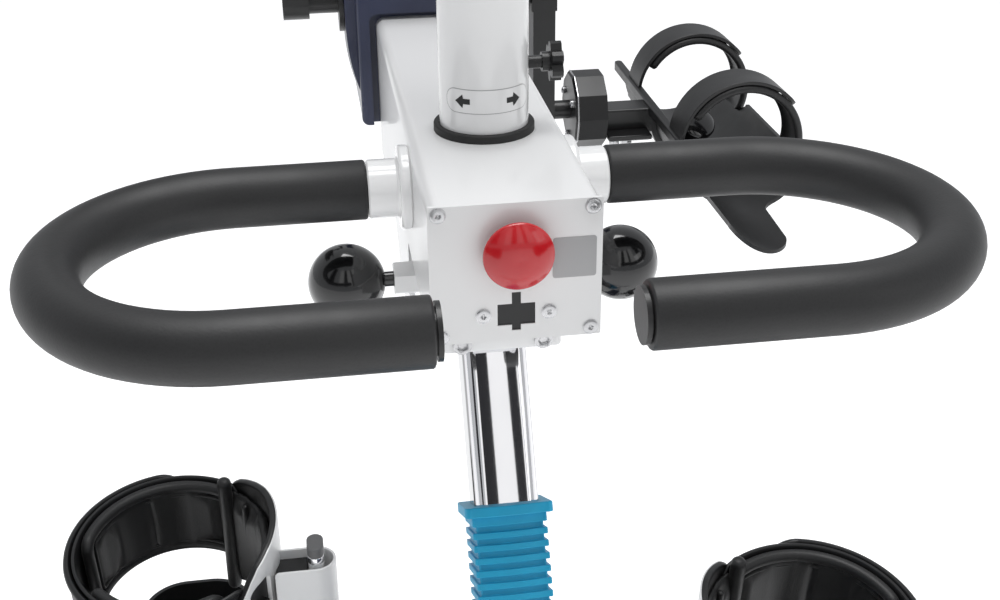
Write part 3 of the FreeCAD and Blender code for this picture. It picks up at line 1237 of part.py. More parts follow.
def make_foot_plate():
    plate = new_body("foot_plate_right")
    carrier = sketch_on(plate, "YZ_Plane", "carrier_start", "carrier")
    middle_rectangle(carrier, "carrier_height", "carrier_height")
    pad(plate, carrier, "carrier_end - carrier_start")
    soften(plate, "carrier_round", lambda edge: runs_along(edge, ALONG_X))
    lug = sketch_on(plate, "XY_Plane", "0 - carrier_height / 2", "lug")
    rectangle(lug, "lug_start", "lug_back", "lug_end - lug_start", "0 - lug_back")
    pad(plate, lug, "carrier_height")
    sole = sketch_on(plate, "XY_Plane", "carrier_height / 2 - carrier_round / 5", "sole")
    left, right = size("sole_start"), size("sole_end")
    back, front, bend = size("sole_back"), size("sole_front"), size("sole_round")
    outline(sole, rounded_rectangle(left, right, back, front, bend))
    pad(plate, sole, "sole_rim")
    wall = size("sole_wall")
    tray = sketch_on(plate, "XY_Plane", "carrier_height / 2 - carrier_round / 5 + sole_rim", "tray")
    outline(tray, rounded_rectangle(left + wall, right - wall, back + wall, front - wall,
                                    bend - wall))
    pocket(plate, tray, "sole_rim - sole_thick")
    seat = sketch_on(plate, "XY_Plane", "carrier_height / 2", "post_seat")
    post_section(seat)
    pocket(plate, seat, "carrier_height - post_seat")
    bore = sketch_on(plate, "YZ_Plane", "carrier_start", "bore")
    circle(bore, "leg_pin_radius + shaft_gap")
    pocket(plate, bore, "leg_pin_end - carrier_start + rest_gap", reverse=True)
    pedal_pair(plate, "foot_plate_left")


def post_section(drawing):
    """Slot-shaped section of the calf post."""
    half, straight = size("post_width / 2"), size("( post_length - post_width ) / 2")
    x, y = size("post_x"), size("post_y")
    outline(drawing, [(x + half, y - straight), (x + half, y + straight),
                      (x, y + straight + half, 0), (x - half, y + straight),
                      (x - half, y - straight), (x, y - straight - half, 0)])


def make_calf_post():
    post = new_body("calf_post_right")
    section = sketch_on(post, "XY_Plane", "post_seat - carrier_height / 2")
    post_section(section)
    pad(post, section, "post_top + carrier_height / 2 - post_seat")
    soften(post, "1.5", lambda edge: edge.CenterOfMass.z > size("post_top") - 0.01)
    pedal_pair(post, "calf_post_left")


def tilted_cuff(target):
    """Right cuff's place: pushed up the post, and its ring tipped up at the back about its own middle."""
    middle = "( cuff_top - cuff_height / 2 )"
    cosine, sine = "cos( cuff_tilt )", "sin( cuff_tilt )"
    return place(target, axis=Vector(1, 0, 0), angle="cuff_tilt",
                 y="leg_axis_y - leg_crank_reach * cos( leg_phase ) + cuff_y - cuff_y * "
                   f"{cosine} + {middle} * {sine}",
                 z="leg_axis_z - leg_crank_reach * sin( leg_phase ) + right_cuff_rise + "
                   f"{middle} - {middle} * {cosine} - cuff_y * {sine}")


def cuff_pair(target, left_label):
    """Both cuffs' copies of a piece that is already in its place on the right."""
    node(target)
    mirrored(target, left_label, y="2 * leg_crank_reach * cos( leg_phase )",
             z="2 * leg_crank_reach * sin( leg_phase ) - right_cuff_rise")


def make_cuff_shell():
    """White half shell on the cuff's inner side, with the loop that goes round the post."""
    centre, middle, across = size("cuff_x"), size("cuff_y"), size("post_y")

    def rim(radius, degrees):
        turn = math.radians(180 + degrees)
        return (centre + radius * math.cos(turn), middle + radius * math.sin(turn))

    sector_body = new_body("cuff_sector")
    inner = size("cuff_radius + shell_gap")
    outer, spread = inner + size("shell_wall"), size("shell_half_angle")
    sector = sketch_on(sector_body, "XY_Plane", "shell_foot", "sector")
    outline(sector, [rim(inner, -spread), rim(inner, 0) + (0,), rim(inner, spread),
                     rim(outer, spread), rim(outer, 0) + (0,), rim(outer, -spread)])
    pad(sector_body, sector, "shell_top - shell_foot")
    for turn in (-spread, spread):
        across_wall = Vector(*rim(1, turn), 0) - Vector(*rim(0, turn), 0)
        soften(sector_body, "shell_round", lambda edge: runs_along(edge, across_wall))
    front, foot, rear, top = rim(outer, spread)[1] - 5, *map(size, ("nose_foot", "nose_rear",
                                                                     "shell_top"))
    nose = sketch_on(sector_body, "YZ_Plane", name="nose")
    outline(nose, [(front, foot), (front + 4, foot),
                   ((front + rear) / 2 - 6, (foot + top) / 2 + 8, 0), (rear, top),
                   (rear, top + 1), (front, top + 1)])
    pocket(sector_body, nose, "cuff_x", reverse=True)
    slot = sketch_on(sector_body, "YZ_Plane", name="slot")
    outline(slot, rounded_rectangle(size("slot_front"), size("slot_rear"), size("slot_foot"),
                                    size("slot_top"), size("slot_round")))
    pocket(sector_body, slot, "cuff_x", reverse=True)
    tilted_cuff(sector_body)

    def in_wall(y):
        return centre - math.sqrt((inner + outer) ** 2 / 4 - (y - middle) ** 2), y

    half, wall = size("loop_width / 2"), size("loop_wall")
    round_x = size("loop_end") + half
    front, back = across - half, across + half
    loop_body = new_body("cuff_loop")
    loop = sketch_on(loop_body, "XY_Plane", "loop_top - loop_height", "loop")
    outline(loop, [in_wall(back), (round_x, back), (round_x - half, across, 0), (round_x, front),
                   in_wall(front), in_wall(front + wall), (round_x, front + wall),
                   (round_x - half + wall, across, 0), (round_x, back - wall),
                   in_wall(back - wall)])
    pad(loop_body, loop, "loop_height")
    place(loop_body, y="leg_axis_y - leg_crank_reach * cos( leg_phase )",
          z="leg_axis_z - leg_crank_reach * sin( leg_phase ) + right_cuff_rise")
    cuff_pair(joined("cuff_shell_right", [sector_body, loop_body]), "cuff_shell_left")


def make_cuff():
    make_cuff_shell()
    strap = new_body("cuff_strap_right")
    band = sketch_on(strap, "XY_Plane", "cuff_top - cuff_height")
    circle(band, "cuff_radius", "cuff_x", "cuff_y")
    circle(band, "cuff_radius - strap_thick", "cuff_x", "cuff_y")
    pad(strap, band, "cuff_height")
    cuff_pair(tilted_cuff(strap), "cuff_strap_left")

    pad_body = new_body("cuff_pad_right")
    ring = sketch_on(pad_body, "XY_Plane", "cuff_top - cuff_height + 2 * soft_gap")
    circle(ring, "cuff_radius - strap_thick - soft_gap", "cuff_x", "cuff_y")
    circle(ring, "cuff_radius - strap_thick - soft_gap - pad_thick", "cuff_x", "cuff_y")
    pad(pad_body, ring, "cuff_height - 4 * soft_gap")
    cuff_pair(tilted_cuff(pad_body), "cuff_pad_left")


# --- build ---------------------------------------------------------------------------------------

def check_and_write():
    """Stop on any broken object, then write each sub-part to its own file."""
    doc.recompute()
    for item in doc.Objects:
        if "Invalid" in item.State or "Error" in item.State:
            raise RuntimeError(f"{item.Name} is broken: {item.State}")
    os.makedirs("parts", exist_ok=True)
    for part in PARTS:
        if part.Shape.isNull() or not part.Shape.isValid():
            raise RuntimeError(f"{part.Label} has no valid shape")
        part.Shape.exportStep(f"parts/{part.Label}.step")


make_base_frame()
make_bar_caps()
make_rubber_feet()
make_wheels()
make_mast()
make_bellows()
make_lift_actuator()
make_head_beam()
make_mast_block()
make_front_plate()
make_head_screws()
make_stop_switch()
make_handle_mounts()
make_handlebars()
make_ball_knobs()
make_column()
make_arm_drive()
make_arm_cranks()
make_forearm_drum()
make_forearm_bracket()
make_forearm_trough()
make_forearm_straps()
make_leg_housing()
make_leg_drive()
make_leg_crank("leg_crank_right", size("leg_phase") + 180, "leg_crank_start")
make_leg_crank("leg_crank_left", size("leg_phase"), "0 - leg_crank_start - leg_crank_thick")
make_foot_plate()
make_calf_post()
make_cuff()
check_and_write()
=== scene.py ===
"""Looks of the sit to stand lift, in metres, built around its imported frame.

The rigid parts come from the frame and get their finishes here. The soft parts, the bellows and the
fine detail are modelled here, one class to each sub-assembly.
"""

import json
import logging
from dataclasses import dataclass, field
from enum import Enum
from math import atan2, cos, hypot, pi, radians, sin, sqrt
from typing import Callable, Optional, Sequence

import bmesh
import bpy
from mathutils import Matrix, Vector


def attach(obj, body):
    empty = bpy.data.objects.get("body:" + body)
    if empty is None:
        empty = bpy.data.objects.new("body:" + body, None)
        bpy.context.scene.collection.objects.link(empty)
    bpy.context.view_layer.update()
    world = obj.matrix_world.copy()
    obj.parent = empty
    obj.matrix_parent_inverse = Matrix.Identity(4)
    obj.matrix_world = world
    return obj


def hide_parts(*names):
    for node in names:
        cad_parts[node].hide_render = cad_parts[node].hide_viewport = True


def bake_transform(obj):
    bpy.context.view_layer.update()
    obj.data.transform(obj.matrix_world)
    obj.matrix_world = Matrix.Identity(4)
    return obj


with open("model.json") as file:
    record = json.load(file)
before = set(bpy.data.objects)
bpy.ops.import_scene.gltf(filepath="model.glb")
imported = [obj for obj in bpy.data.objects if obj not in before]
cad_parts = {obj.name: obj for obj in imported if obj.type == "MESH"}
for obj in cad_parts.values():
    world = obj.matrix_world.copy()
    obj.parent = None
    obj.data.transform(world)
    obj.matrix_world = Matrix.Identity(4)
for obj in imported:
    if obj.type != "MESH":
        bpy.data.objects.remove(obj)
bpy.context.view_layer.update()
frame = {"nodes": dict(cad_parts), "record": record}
LOG = logging.getLogger("sit_to_stand_lift")

Colour = tuple[float, float, float]
Place = Callable[[Vector], bool]
Facing = Callable[[Vector, Vector], bool]
UP = Vector((0, 0, 1))
MM = 0.001
TINY = 1e-6  # metres below which two places are one
DISC_RADIUS = 10 * MM  # of the flat disc that an outline starts from
END_GAP = 0.02  # share of a corner's radius that keeps a rounded end from closing to a point
MIX_SHARE, MIX_FIRST, MIX_SECOND, MIX_RESULT = 0, 6, 7, 2  # sockets of a colour mix


class Side(Enum):
    """Side of the machine, as the user who faces the front plate sees it."""

    RIGHT = "right"
    LEFT = "left"

    def __str__(self) -> str:
        """The side as the names of bodies and nodes have it."""
        return self.value

    @property
    def sign(self) -> int:
        """1 on the right, where X grows, and -1 on the left."""
        return 1 if self is Side.RIGHT else -1

    @property
    def mirror(self) -> Matrix:
        """What carries a right piece over the middle plane to this side."""
        return Matrix.Diagonal((self.sign, 1, 1, 1))


# Depth and height of the two pedals' axles.
PEDAL_AXLES = {Side.RIGHT: (43.5 * MM, 278 * MM), Side.LEFT: (226.5 * MM, 292 * MM)}


# --- finishes ------------------------------------------------------------------------------------

class Graph:
    """Node tree that is grown one node at a time."""

    def __init__(self, tree: bpy.types.NodeTree) -> None:
        """Take hold of a tree."""
        self.tree = tree

    def add(self, kind: str, settings: Optional[dict] = None, **inputs: object) -> bpy.types.Node:
        """Add a node and fill its sockets.

        Args:
            kind: node type without its ShaderNode prefix.
            settings: properties of the node itself.
            **inputs: sockets by name, an underscore for a space, each a value or an output to link.

        Returns:
            The new node.
        """
        node = self.tree.nodes.new("ShaderNode" + kind)
        for key, value in (settings or {}).items():
            setattr(node, key, value)
        for key, value in inputs.items():
            self.fill(node.inputs[key.replace("_", " ")], value)
        return node

    def fill(self, socket: bpy.types.NodeSocket, value: object) -> None:
        """Link an output to a socket, or set the socket's own value.

        Args:
            socket: socket to fill.
            value: output socket or plain value.
        """
        if isinstance(value, bpy.types.NodeSocket):
            self.tree.links.new(value, socket)
        else:
            socket.default_value = value

    def math(self, operation: str, first: object, second: object = 0.0) -> bpy.types.NodeSocket:
        """Join two numbers.

        Args:
            operation: name of the sum, such as MULTIPLY.
            first: first number or output.
            second: second number or output.

        Returns:
            The result's output socket.
        """
        node = self.add("Math", {"operation": operation})
        self.fill(node.inputs[0], first)
        self.fill(node.inputs[1], second)
        return node.outputs[0]

    def tint(self, share: object, first: object, second: object) -> bpy.types.NodeSocket:
        """Mix two colours.

        Args:
            share: share of the second colour.
            first: colour or colour output.
            second: colour or colour output.

        Returns:
            The mixed colour's output socket.
        """
        node = self.add("Mix", {"data_type": "RGBA"})
        for number, value in ((MIX_SHARE, share), (MIX_FIRST, first), (MIX_SECOND, second)):
            self.fill(node.inputs[number], (*value, 1.0) if isinstance(value, tuple) else value)
        return node.outputs[MIX_RESULT]


class Shader(Graph):
    """Node graph of one material, grown around a single Principled shader."""

    def __init__(self, name: str) -> None:
        """Start an empty graph.

        Args:
            name: name of the material.
        """
        self.material = bpy.data.materials.new(name)
        self.material.use_nodes = True
        super().__init__(self.material.node_tree)
        self.surface = self.tree.nodes["Principled BSDF"]
        self.place = self.add("TexCoord").outputs["Object"]

    def stretched(self, scale: Sequence[float]) -> bpy.types.NodeSocket:
        """Object coordinates with a scale of their own along each axis."""
        return self.add("Mapping", Vector=self.place, Scale=scale).outputs[0]

    def noise(self, scale: float, detail: float = 2.0, place: object = None) -> bpy.types.NodeSocket:
        """Smooth noise from 0 to 1.

        Args:
            scale: waves to a metre.
            detail: octaves.
            place: coordinates other than the object's own.

        Returns:
            The noise value's output socket.
        """
        return self.add("TexNoise", Vector=place or self.place, Scale=scale, Detail=detail).outputs["Fac"]

    def cells(self, scale: float, place: object = None, feature: str = "F1") -> bpy.types.NodeSocket:
        """Distance to the nearest of scattered points.

        Args:
            scale: points to a metre.
            place: coordinates other than the object's own.
            feature: which distance is measured.

        Returns:
            The distance's output socket.
        """
        node = self.add("TexVoronoi", {"feature": feature}, Vector=place or self.place, Scale=scale)
        return node.outputs["Distance"]

    def span(self, value: object, low: float, high: float, start: float = 0.0,
             end: float = 1.0) -> bpy.types.NodeSocket:
        """Spread a value from one range over another, held at its ends.

        Args:
            value: output to spread.
            low: result at the range's start.
            high: result at the range's end.
            start: lowest value of the range.
            end: highest value of the range.

        Returns:
            The result's output socket.
        """
        node = self.add("MapRange", {"interpolation_type": "SMOOTHSTEP"}, Value=value, From_Min=start,
                        From_Max=end, To_Min=low, To_Max=high)
        return node.outputs["Result"]

    def bump(self, height: object, depth: float, strength: float = 1.0,
             under: object = None) -> bpy.types.NodeSocket:
        """Relief read from a height.

        Args:
            height: output from 0 to 1.
            depth: relief in metres between 0 and 1.
            strength: share of the relief that shows.
            under: normal that this relief lies on.

        Returns:
            The normal's output socket.
        """
        node = self.add("Bump", Height=height, Distance=depth, Strength=strength)
        if under is not None:
            self.fill(node.inputs["Normal"], under)
        return node.outputs[0]

    def set(self, **inputs: object) -> None:
        """Fill sockets of the Principled shader.

        Args:
            **inputs: sockets by name, an underscore for a space.
        """
        for key, value in inputs.items():
            if isinstance(value, tuple) and len(value) == 3:
                value = (*value, 1.0)
            self.fill(self.surface.inputs[key.replace("_", " ")], value)


def shade(colour: Colour, share: float) -> Colour:
    """A colour made darker or lighter by a share of itself."""
    return tuple(min(part * share, 1.0) for part in colour)


@dataclass(frozen=True)
class Finish:
    """What one surface is made of; each kind of surface dresses the shader its own way."""

    name: str
    colour: Colour
    roughness: float

    def material(self) -> bpy.types.Material:
        """The finish's material, made the first time it is asked for.

        Returns:
            The material.
        """
        made = bpy.data.materials.get(self.name)
        if made is None:
            shader = Shader(self.name)
            self.dress(shader)
            made = shader.material
        return made

    def dress(self, shader: Shader) -> None:
        """Give the shader this finish.

        Args:
            shader: graph to fill.
        """
        raise NotImplementedError


@dataclass(frozen=True)
class GlossPaint(Finish):
    """Baked gloss paint: faint orange peel under a clear coat, with handling marks in its shine."""

    coat: float = 0.6
    peel: float = 0.06 * MM

    def dress(self, shader: Shader) -> None:
        """Give the shader this finish.

        Args:
            shader: graph to fill.
        """
        cloud = shader.noise(3, 1)
        smudge = shader.noise(9, 1)
        if self.peel:
            shader.set(Normal=shader.bump(shader.noise(420, 2), self.peel))
        shader.set(
            Base_Color=shader.tint(shader.span(cloud, 0, 1, 0.35, 0.7), self.colour,
                                   shade(self.colour, 0.985)),
            Roughness=shader.span(smudge, self.roughness * 0.92, self.roughness * 1.1, 0.3, 0.75),
            Coat_Weight=self.coat,
            Coat_Roughness=0.06,
            Specular_IOR_Level=0.5,
        )


@dataclass(frozen=True)
class Metal(Finish):
    """Bare metal with fine marks drawn along one way, from mirror plating to a turned or cast face."""

    grain: tuple[float, float, float] = (900, 900, 24)
    depth: float = 0.004 * MM
    spread: float = 0.3

    def dress(self, shader: Shader) -> None:
        """Give the shader this finish.

        Args:
            shader: graph to fill.
        """
        lines = shader.noise(1, 3, shader.stretched(self.grain))
        smear = shader.noise(34, 4)
        both = shader.math("MULTIPLY", lines, smear)
        shader.set(
            Base_Color=shader.tint(shader.span(smear, 0, 1, 0.3, 0.8), self.colour,
                                   shade(self.colour, 0.9)),
            Metallic=1.0,
            Roughness=shader.span(both, self.roughness * (1 - self.spread),
                                  self.roughness * (1 + self.spread), 0.1, 0.45),
            Normal=shader.bump(lines, self.depth),
        )


@dataclass(frozen=True)
class MastPlate(Finish):
    """Mirror plating on the square mast: faces crowned a little across their width, with painted shade on the
    sides.
    """

    crown: float = 4.1
    # Share of the plating's colour left on the faces that point to either side; this darkening is painted
    # shade.
    painted_side_shade: float = 0.24

    def dress(self, shader: Shader) -> None:
        """Give the shader this finish.

        Args:
            shader: graph to fill.
        """
        across = shader.add("SeparateXYZ", Vector=shader.place).outputs["X"]
        bulge = shader.math("MULTIPLY", shader.math("MULTIPLY", across, across), -self.crown)
        smear = shader.noise(1, 3, shader.stretched((60, 60, 8)))
        # Faces that point to either side get a darker base colour: painted shade, not a different plating.
        facing = shader.add("SeparateXYZ", Vector=shader.add("TexCoord").outputs["Normal"])
        side = shader.span(shader.math("ABSOLUTE", facing.outputs["X"]), 0, 1, 0.8, 0.95)
        shader.set(
            Base_Color=shader.tint(side, shader.tint(smear, self.colour, shade(self.colour, 0.93)),
                                   shade(self.colour, self.painted_side_shade)),
            Metallic=1.0,
            Roughness=shader.span(smear, self.roughness * 0.8, self.roughness * 1.3),
            Normal=shader.bump(bulge, 1.0),
        )


@dataclass(frozen=True)
class Moulded(Finish):
    """Moulded plastic with the fine spark grain of its tool, and a little polish where it is rubbed."""

    grain: float = 0.05 * MM
    grain_scale: float = 1500
    coat: float = 0.0

    def dress(self, shader: Shader) -> None:
        """Give the shader this finish.

        Args:
            shader: graph to fill.
        """
        spark = shader.cells(self.grain_scale)
        rubbed = shader.noise(14, 4)
        shader.set(
            Base_Color=shader.tint(shader.span(rubbed, 0, 1, 0.35, 0.7), self.colour,
                                   shade(self.colour, 1.18)),
            Roughness=shader.span(rubbed, self.roughness * 1.1, self.roughness * 0.8, 0.35, 0.7),
            Normal=shader.bump(spark, self.grain, 0.5),
            Coat_Weight=self.coat,
            Coat_Roughness=0.04,
        )


@dataclass(frozen=True)
class FoamSkin(Finish):
    """Closed-cell grip foam: a dense pebbled skin over slow dents, dull with a soft sheen."""

    def dress(self, shader: Shader) -> None:
        """Give the shader this finish.

        Args:
            shader: graph to fill.
        """
        pores = shader.cells(620)
        dents = shader.noise(48, 3)
        fine = shader.bump(pores, 0.1 * MM, 0.35)
        shader.set(
            Base_Color=shader.tint(shader.span(pores, 0, 1, 0.05, 0.6), shade(self.colour, 0.82),
                                   shade(self.colour, 1.1)),
            Roughness=shader.span(dents, self.roughness * 0.92, self.roughness * 1.08),
            Normal=shader.bump(dents, 0.5 * MM, 0.35, fine),
            Sheen_Weight=0.03,
            Sheen_Roughness=0.5,
        )


@dataclass(frozen=True)
class Rubber(Finish):
    """Soft rubber: dull, faintly mottled, with a dusty bloom."""

    bloom: float = 1.5
    coat: float = 0.0

    def dress(self, shader: Shader) -> None:
        """Give the shader this finish.

        Args:
            shader: graph to fill.
        """
        mottle = shader.noise(60, 5)
        grain = shader.noise(1300, 2)
        shader.set(
            Base_Color=shader.tint(shader.span(mottle, 0, 1, 0.4, 0.75), self.colour,
                                   shade(self.colour, self.bloom)),
            Roughness=shader.span(mottle, self.roughness * 0.9, self.roughness * 1.1),
            Normal=shader.bump(grain, 0.03 * MM, 0.6),
            Coat_Weight=self.coat,
            Coat_Roughness=0.2,
        )


@dataclass(frozen=True)
class SoftLining(Finish):
    """Leather-like lining laid over foam: small creased cells, with painted shade in the creases and a
    painted shine on their crowns.
    """

    cell: float = 520

    def dress(self, shader: Shader) -> None:
        """Give the shader this finish.

        Args:
            shader: graph to fill.
        """
        warp = shader.add("VectorMath", {"operation": "ADD"})
        wobble = shader.add("TexNoise", Vector=shader.place, Scale=90.0).outputs["Color"]
        shader.fill(warp.inputs[0], shader.place)
        small = shader.add("VectorMath", {"operation": "SCALE"}, Scale=0.004)
        shader.fill(small.inputs[0], wobble)
        shader.fill(warp.inputs[1], small.outputs[0])
        crease = shader.cells(self.cell, warp.outputs[0], "DISTANCE_TO_EDGE")
        # The base colour is painted darker in the creases as shade, and lighter on the cells' crowns as a
        # painted shine.
        crown = shader.span(crease, 0, 1, 0.0, 0.16)
        slow = shader.noise(22, 3)
        under = shader.bump(slow, 0.7 * MM, 0.35)
        shader.set(
            Base_Color=shader.tint(crown, shade(self.colour, 0.7), shade(self.colour, 1.1)),
            Roughness=shader.span(slow, self.roughness * 0.85, self.roughness * 1.1),
            Normal=shader.bump(crown, 0.09 * MM, 0.5, under),
            Sheen_Weight=0.08,
        )


@dataclass(frozen=True)
class Webbing(Finish):
    """Woven band: warp and weft cross in a fine basket, read from the band's own UV map in metres."""

    pitch: float = 1.1 * MM

    def dress(self, shader: Shader) -> None:
        """Give the shader this finish.

        Args:
            shader: graph to fill.
        """
        flat = shader.add("TexCoord").outputs["UV"]
        scaled = shader.add("Mapping", Vector=flat, Scale=(1 / self.pitch, 1 / self.pitch, 1)).outputs[0]
        warp = shader.add("TexWave", {"bands_direction": "X"}, Vector=scaled, Scale=1.0, Distortion=0.4)
        weft = shader.add("TexWave", {"bands_direction": "Y"}, Vector=scaled, Scale=1.0, Distortion=0.4)
        weave = shader.math("MAXIMUM", warp.outputs["Fac"], weft.outputs["Fac"])
        fray = shader.noise(220, 4)
        shader.set(
            Base_Color=shader.tint(weave, shade(self.colour, 0.55), shade(self.colour, 1.25)),
            Roughness=shader.span(fray, self.roughness * 0.9, self.roughness),
            Normal=shader.bump(weave, 0.12 * MM, 0.6),
            Sheen_Weight=0.15,
        )


@dataclass(frozen=True)
class ScreenGlass(Finish):
    """Dark display glass with the faint square mesh of its layers below."""

    def dress(self, shader: Shader) -> None:
        """Give the shader this finish.

        Args:
            shader: graph to fill.
        """
        mesh = shader.noise(1, 2, shader.stretched((260, 260, 260)))
        prints = shader.noise(55, 5)
        shader.set(
            Base_Color=shader.tint(mesh, self.colour, shade(self.colour, 1.5)),
            Roughness=shader.span(prints, self.roughness, self.roughness * 3, 0.5, 0.8),
            Coat_Weight=1.0,
            Coat_Roughness=0.02,
        )


WHITE: Colour = (0.8, 0.8, 0.8)
FINISHES = {
    "white_paint": GlossPaint("white_gloss_paint", WHITE, 0.3, coat=0.35, peel=0.0),
    "column_white": GlossPaint("column_gloss_paint", (0.84, 0.84, 0.84), 0.22, coat=0.8, peel=0.0),
    "white_shell": GlossPaint("white_shell_gloss", WHITE, 0.34, coat=0.4, peel=0.0),
    "navy_cover": Moulded("navy_cover_plastic", (0.016, 0.022, 0.058), 0.34, coat=0.15),
    "bright_chrome": Metal("bright_chrome_plate", (0.86, 0.86, 0.88), 0.06, depth=0.001 * MM),
    "machined_steel": Metal("drawn_steel", (0.56, 0.56, 0.57), 0.3, depth=0.01 * MM),
    "screw_steel": Metal("screw_steel_satin", (0.6, 0.6, 0.61), 0.32, grain=(700, 700, 700)),
    "black_paint": GlossPaint("black_gloss_paint", (0.006, 0.006, 0.0065), 0.4, coat=0.15),
    "foam": FoamSkin("black_grip_foam", (0.0105, 0.0105, 0.011), 0.5),
    "knob_black": GlossPaint("polished_black_ball", (0.0035, 0.0035, 0.004), 0.16, coat=0.6, peel=0.0),
    "moulded_black": Moulded("black_grained_plastic", (0.0075, 0.0075, 0.008), 0.42),
    "black_rubber": Rubber("black_rubber_bloom", (0.012, 0.012, 0.012), 0.6),
    "bellows_blue": Rubber("blue_bellows_rubber", (0.003, 0.33, 0.56), 0.5, bloom=1.08),
    "stop_red": Moulded("red_mushroom_gloss", (0.46, 0.006, 0.011), 0.24, coat=0.5, grain=0.004 * MM),
    "strap_webbing": Webbing("black_strap_weave", (0.007, 0.007, 0.0075), 0.55),
    "pad_lining": SoftLining("soft_black_lining", (0.0075, 0.0075, 0.008), 0.46),
    "panel_grey": Moulded("slate_panel_plastic", (0.05, 0.053, 0.062), 0.48),
    "bush_plastic": Moulded("slide_bush_plastic", (0.02, 0.02, 0.022), 0.4),
    "motor_casting": Metal("cast_motor_skin", (0.45, 0.46, 0.47), 0.5, grain=(260, 260, 260),
                           depth=0.12 * MM),
    "grey_cap": Moulded("grey_end_cap", (0.12, 0.12, 0.122), 0.45),
    "grey_foil": Moulded("bare_grey_foil", (0.33, 0.33, 0.335), 0.42, grain=0.01 * MM),
    "screen_glass": ScreenGlass("dark_screen_glass", (0.006, 0.008, 0.011), 0.06),
}

# Nodes whose finish isn't their slot's.
SPECIAL = {
    "mast_inner_tube": MastPlate("crowned_mast_plate", (0.88, 0.88, 0.9), 0.05),
    "star_knob": Moulded("star_knob_plastic", (0.006, 0.006, 0.0065), 0.3, grain=0.01 * MM),
    "handle_mounts": GlossPaint("socket_gloss_paint", (0.86, 0.86, 0.86), 0.24, coat=0.7, peel=0.0),
}


def dress_frame() -> None:
    """Give each rigid part of the frame the finish of its material slot, or its own."""
    for part in frame["record"]["subparts"]:
        finish = SPECIAL.get(part["node"], FINISHES[part["material_slot"]])
        mesh = frame["nodes"][part["node"]].data
        mesh.materials.clear()
        mesh.materials.append(finish.material())
        LOG.info("frame part %s in %s", part["node"], finish.name)


# --- bench ---------------------------------------------------------------------------------------

class Part(Enum):
    """What a pick in edit mode takes hold of."""

    CORNER = "VERT"
    EDGE = "EDGE"
    FACE = "FACE"


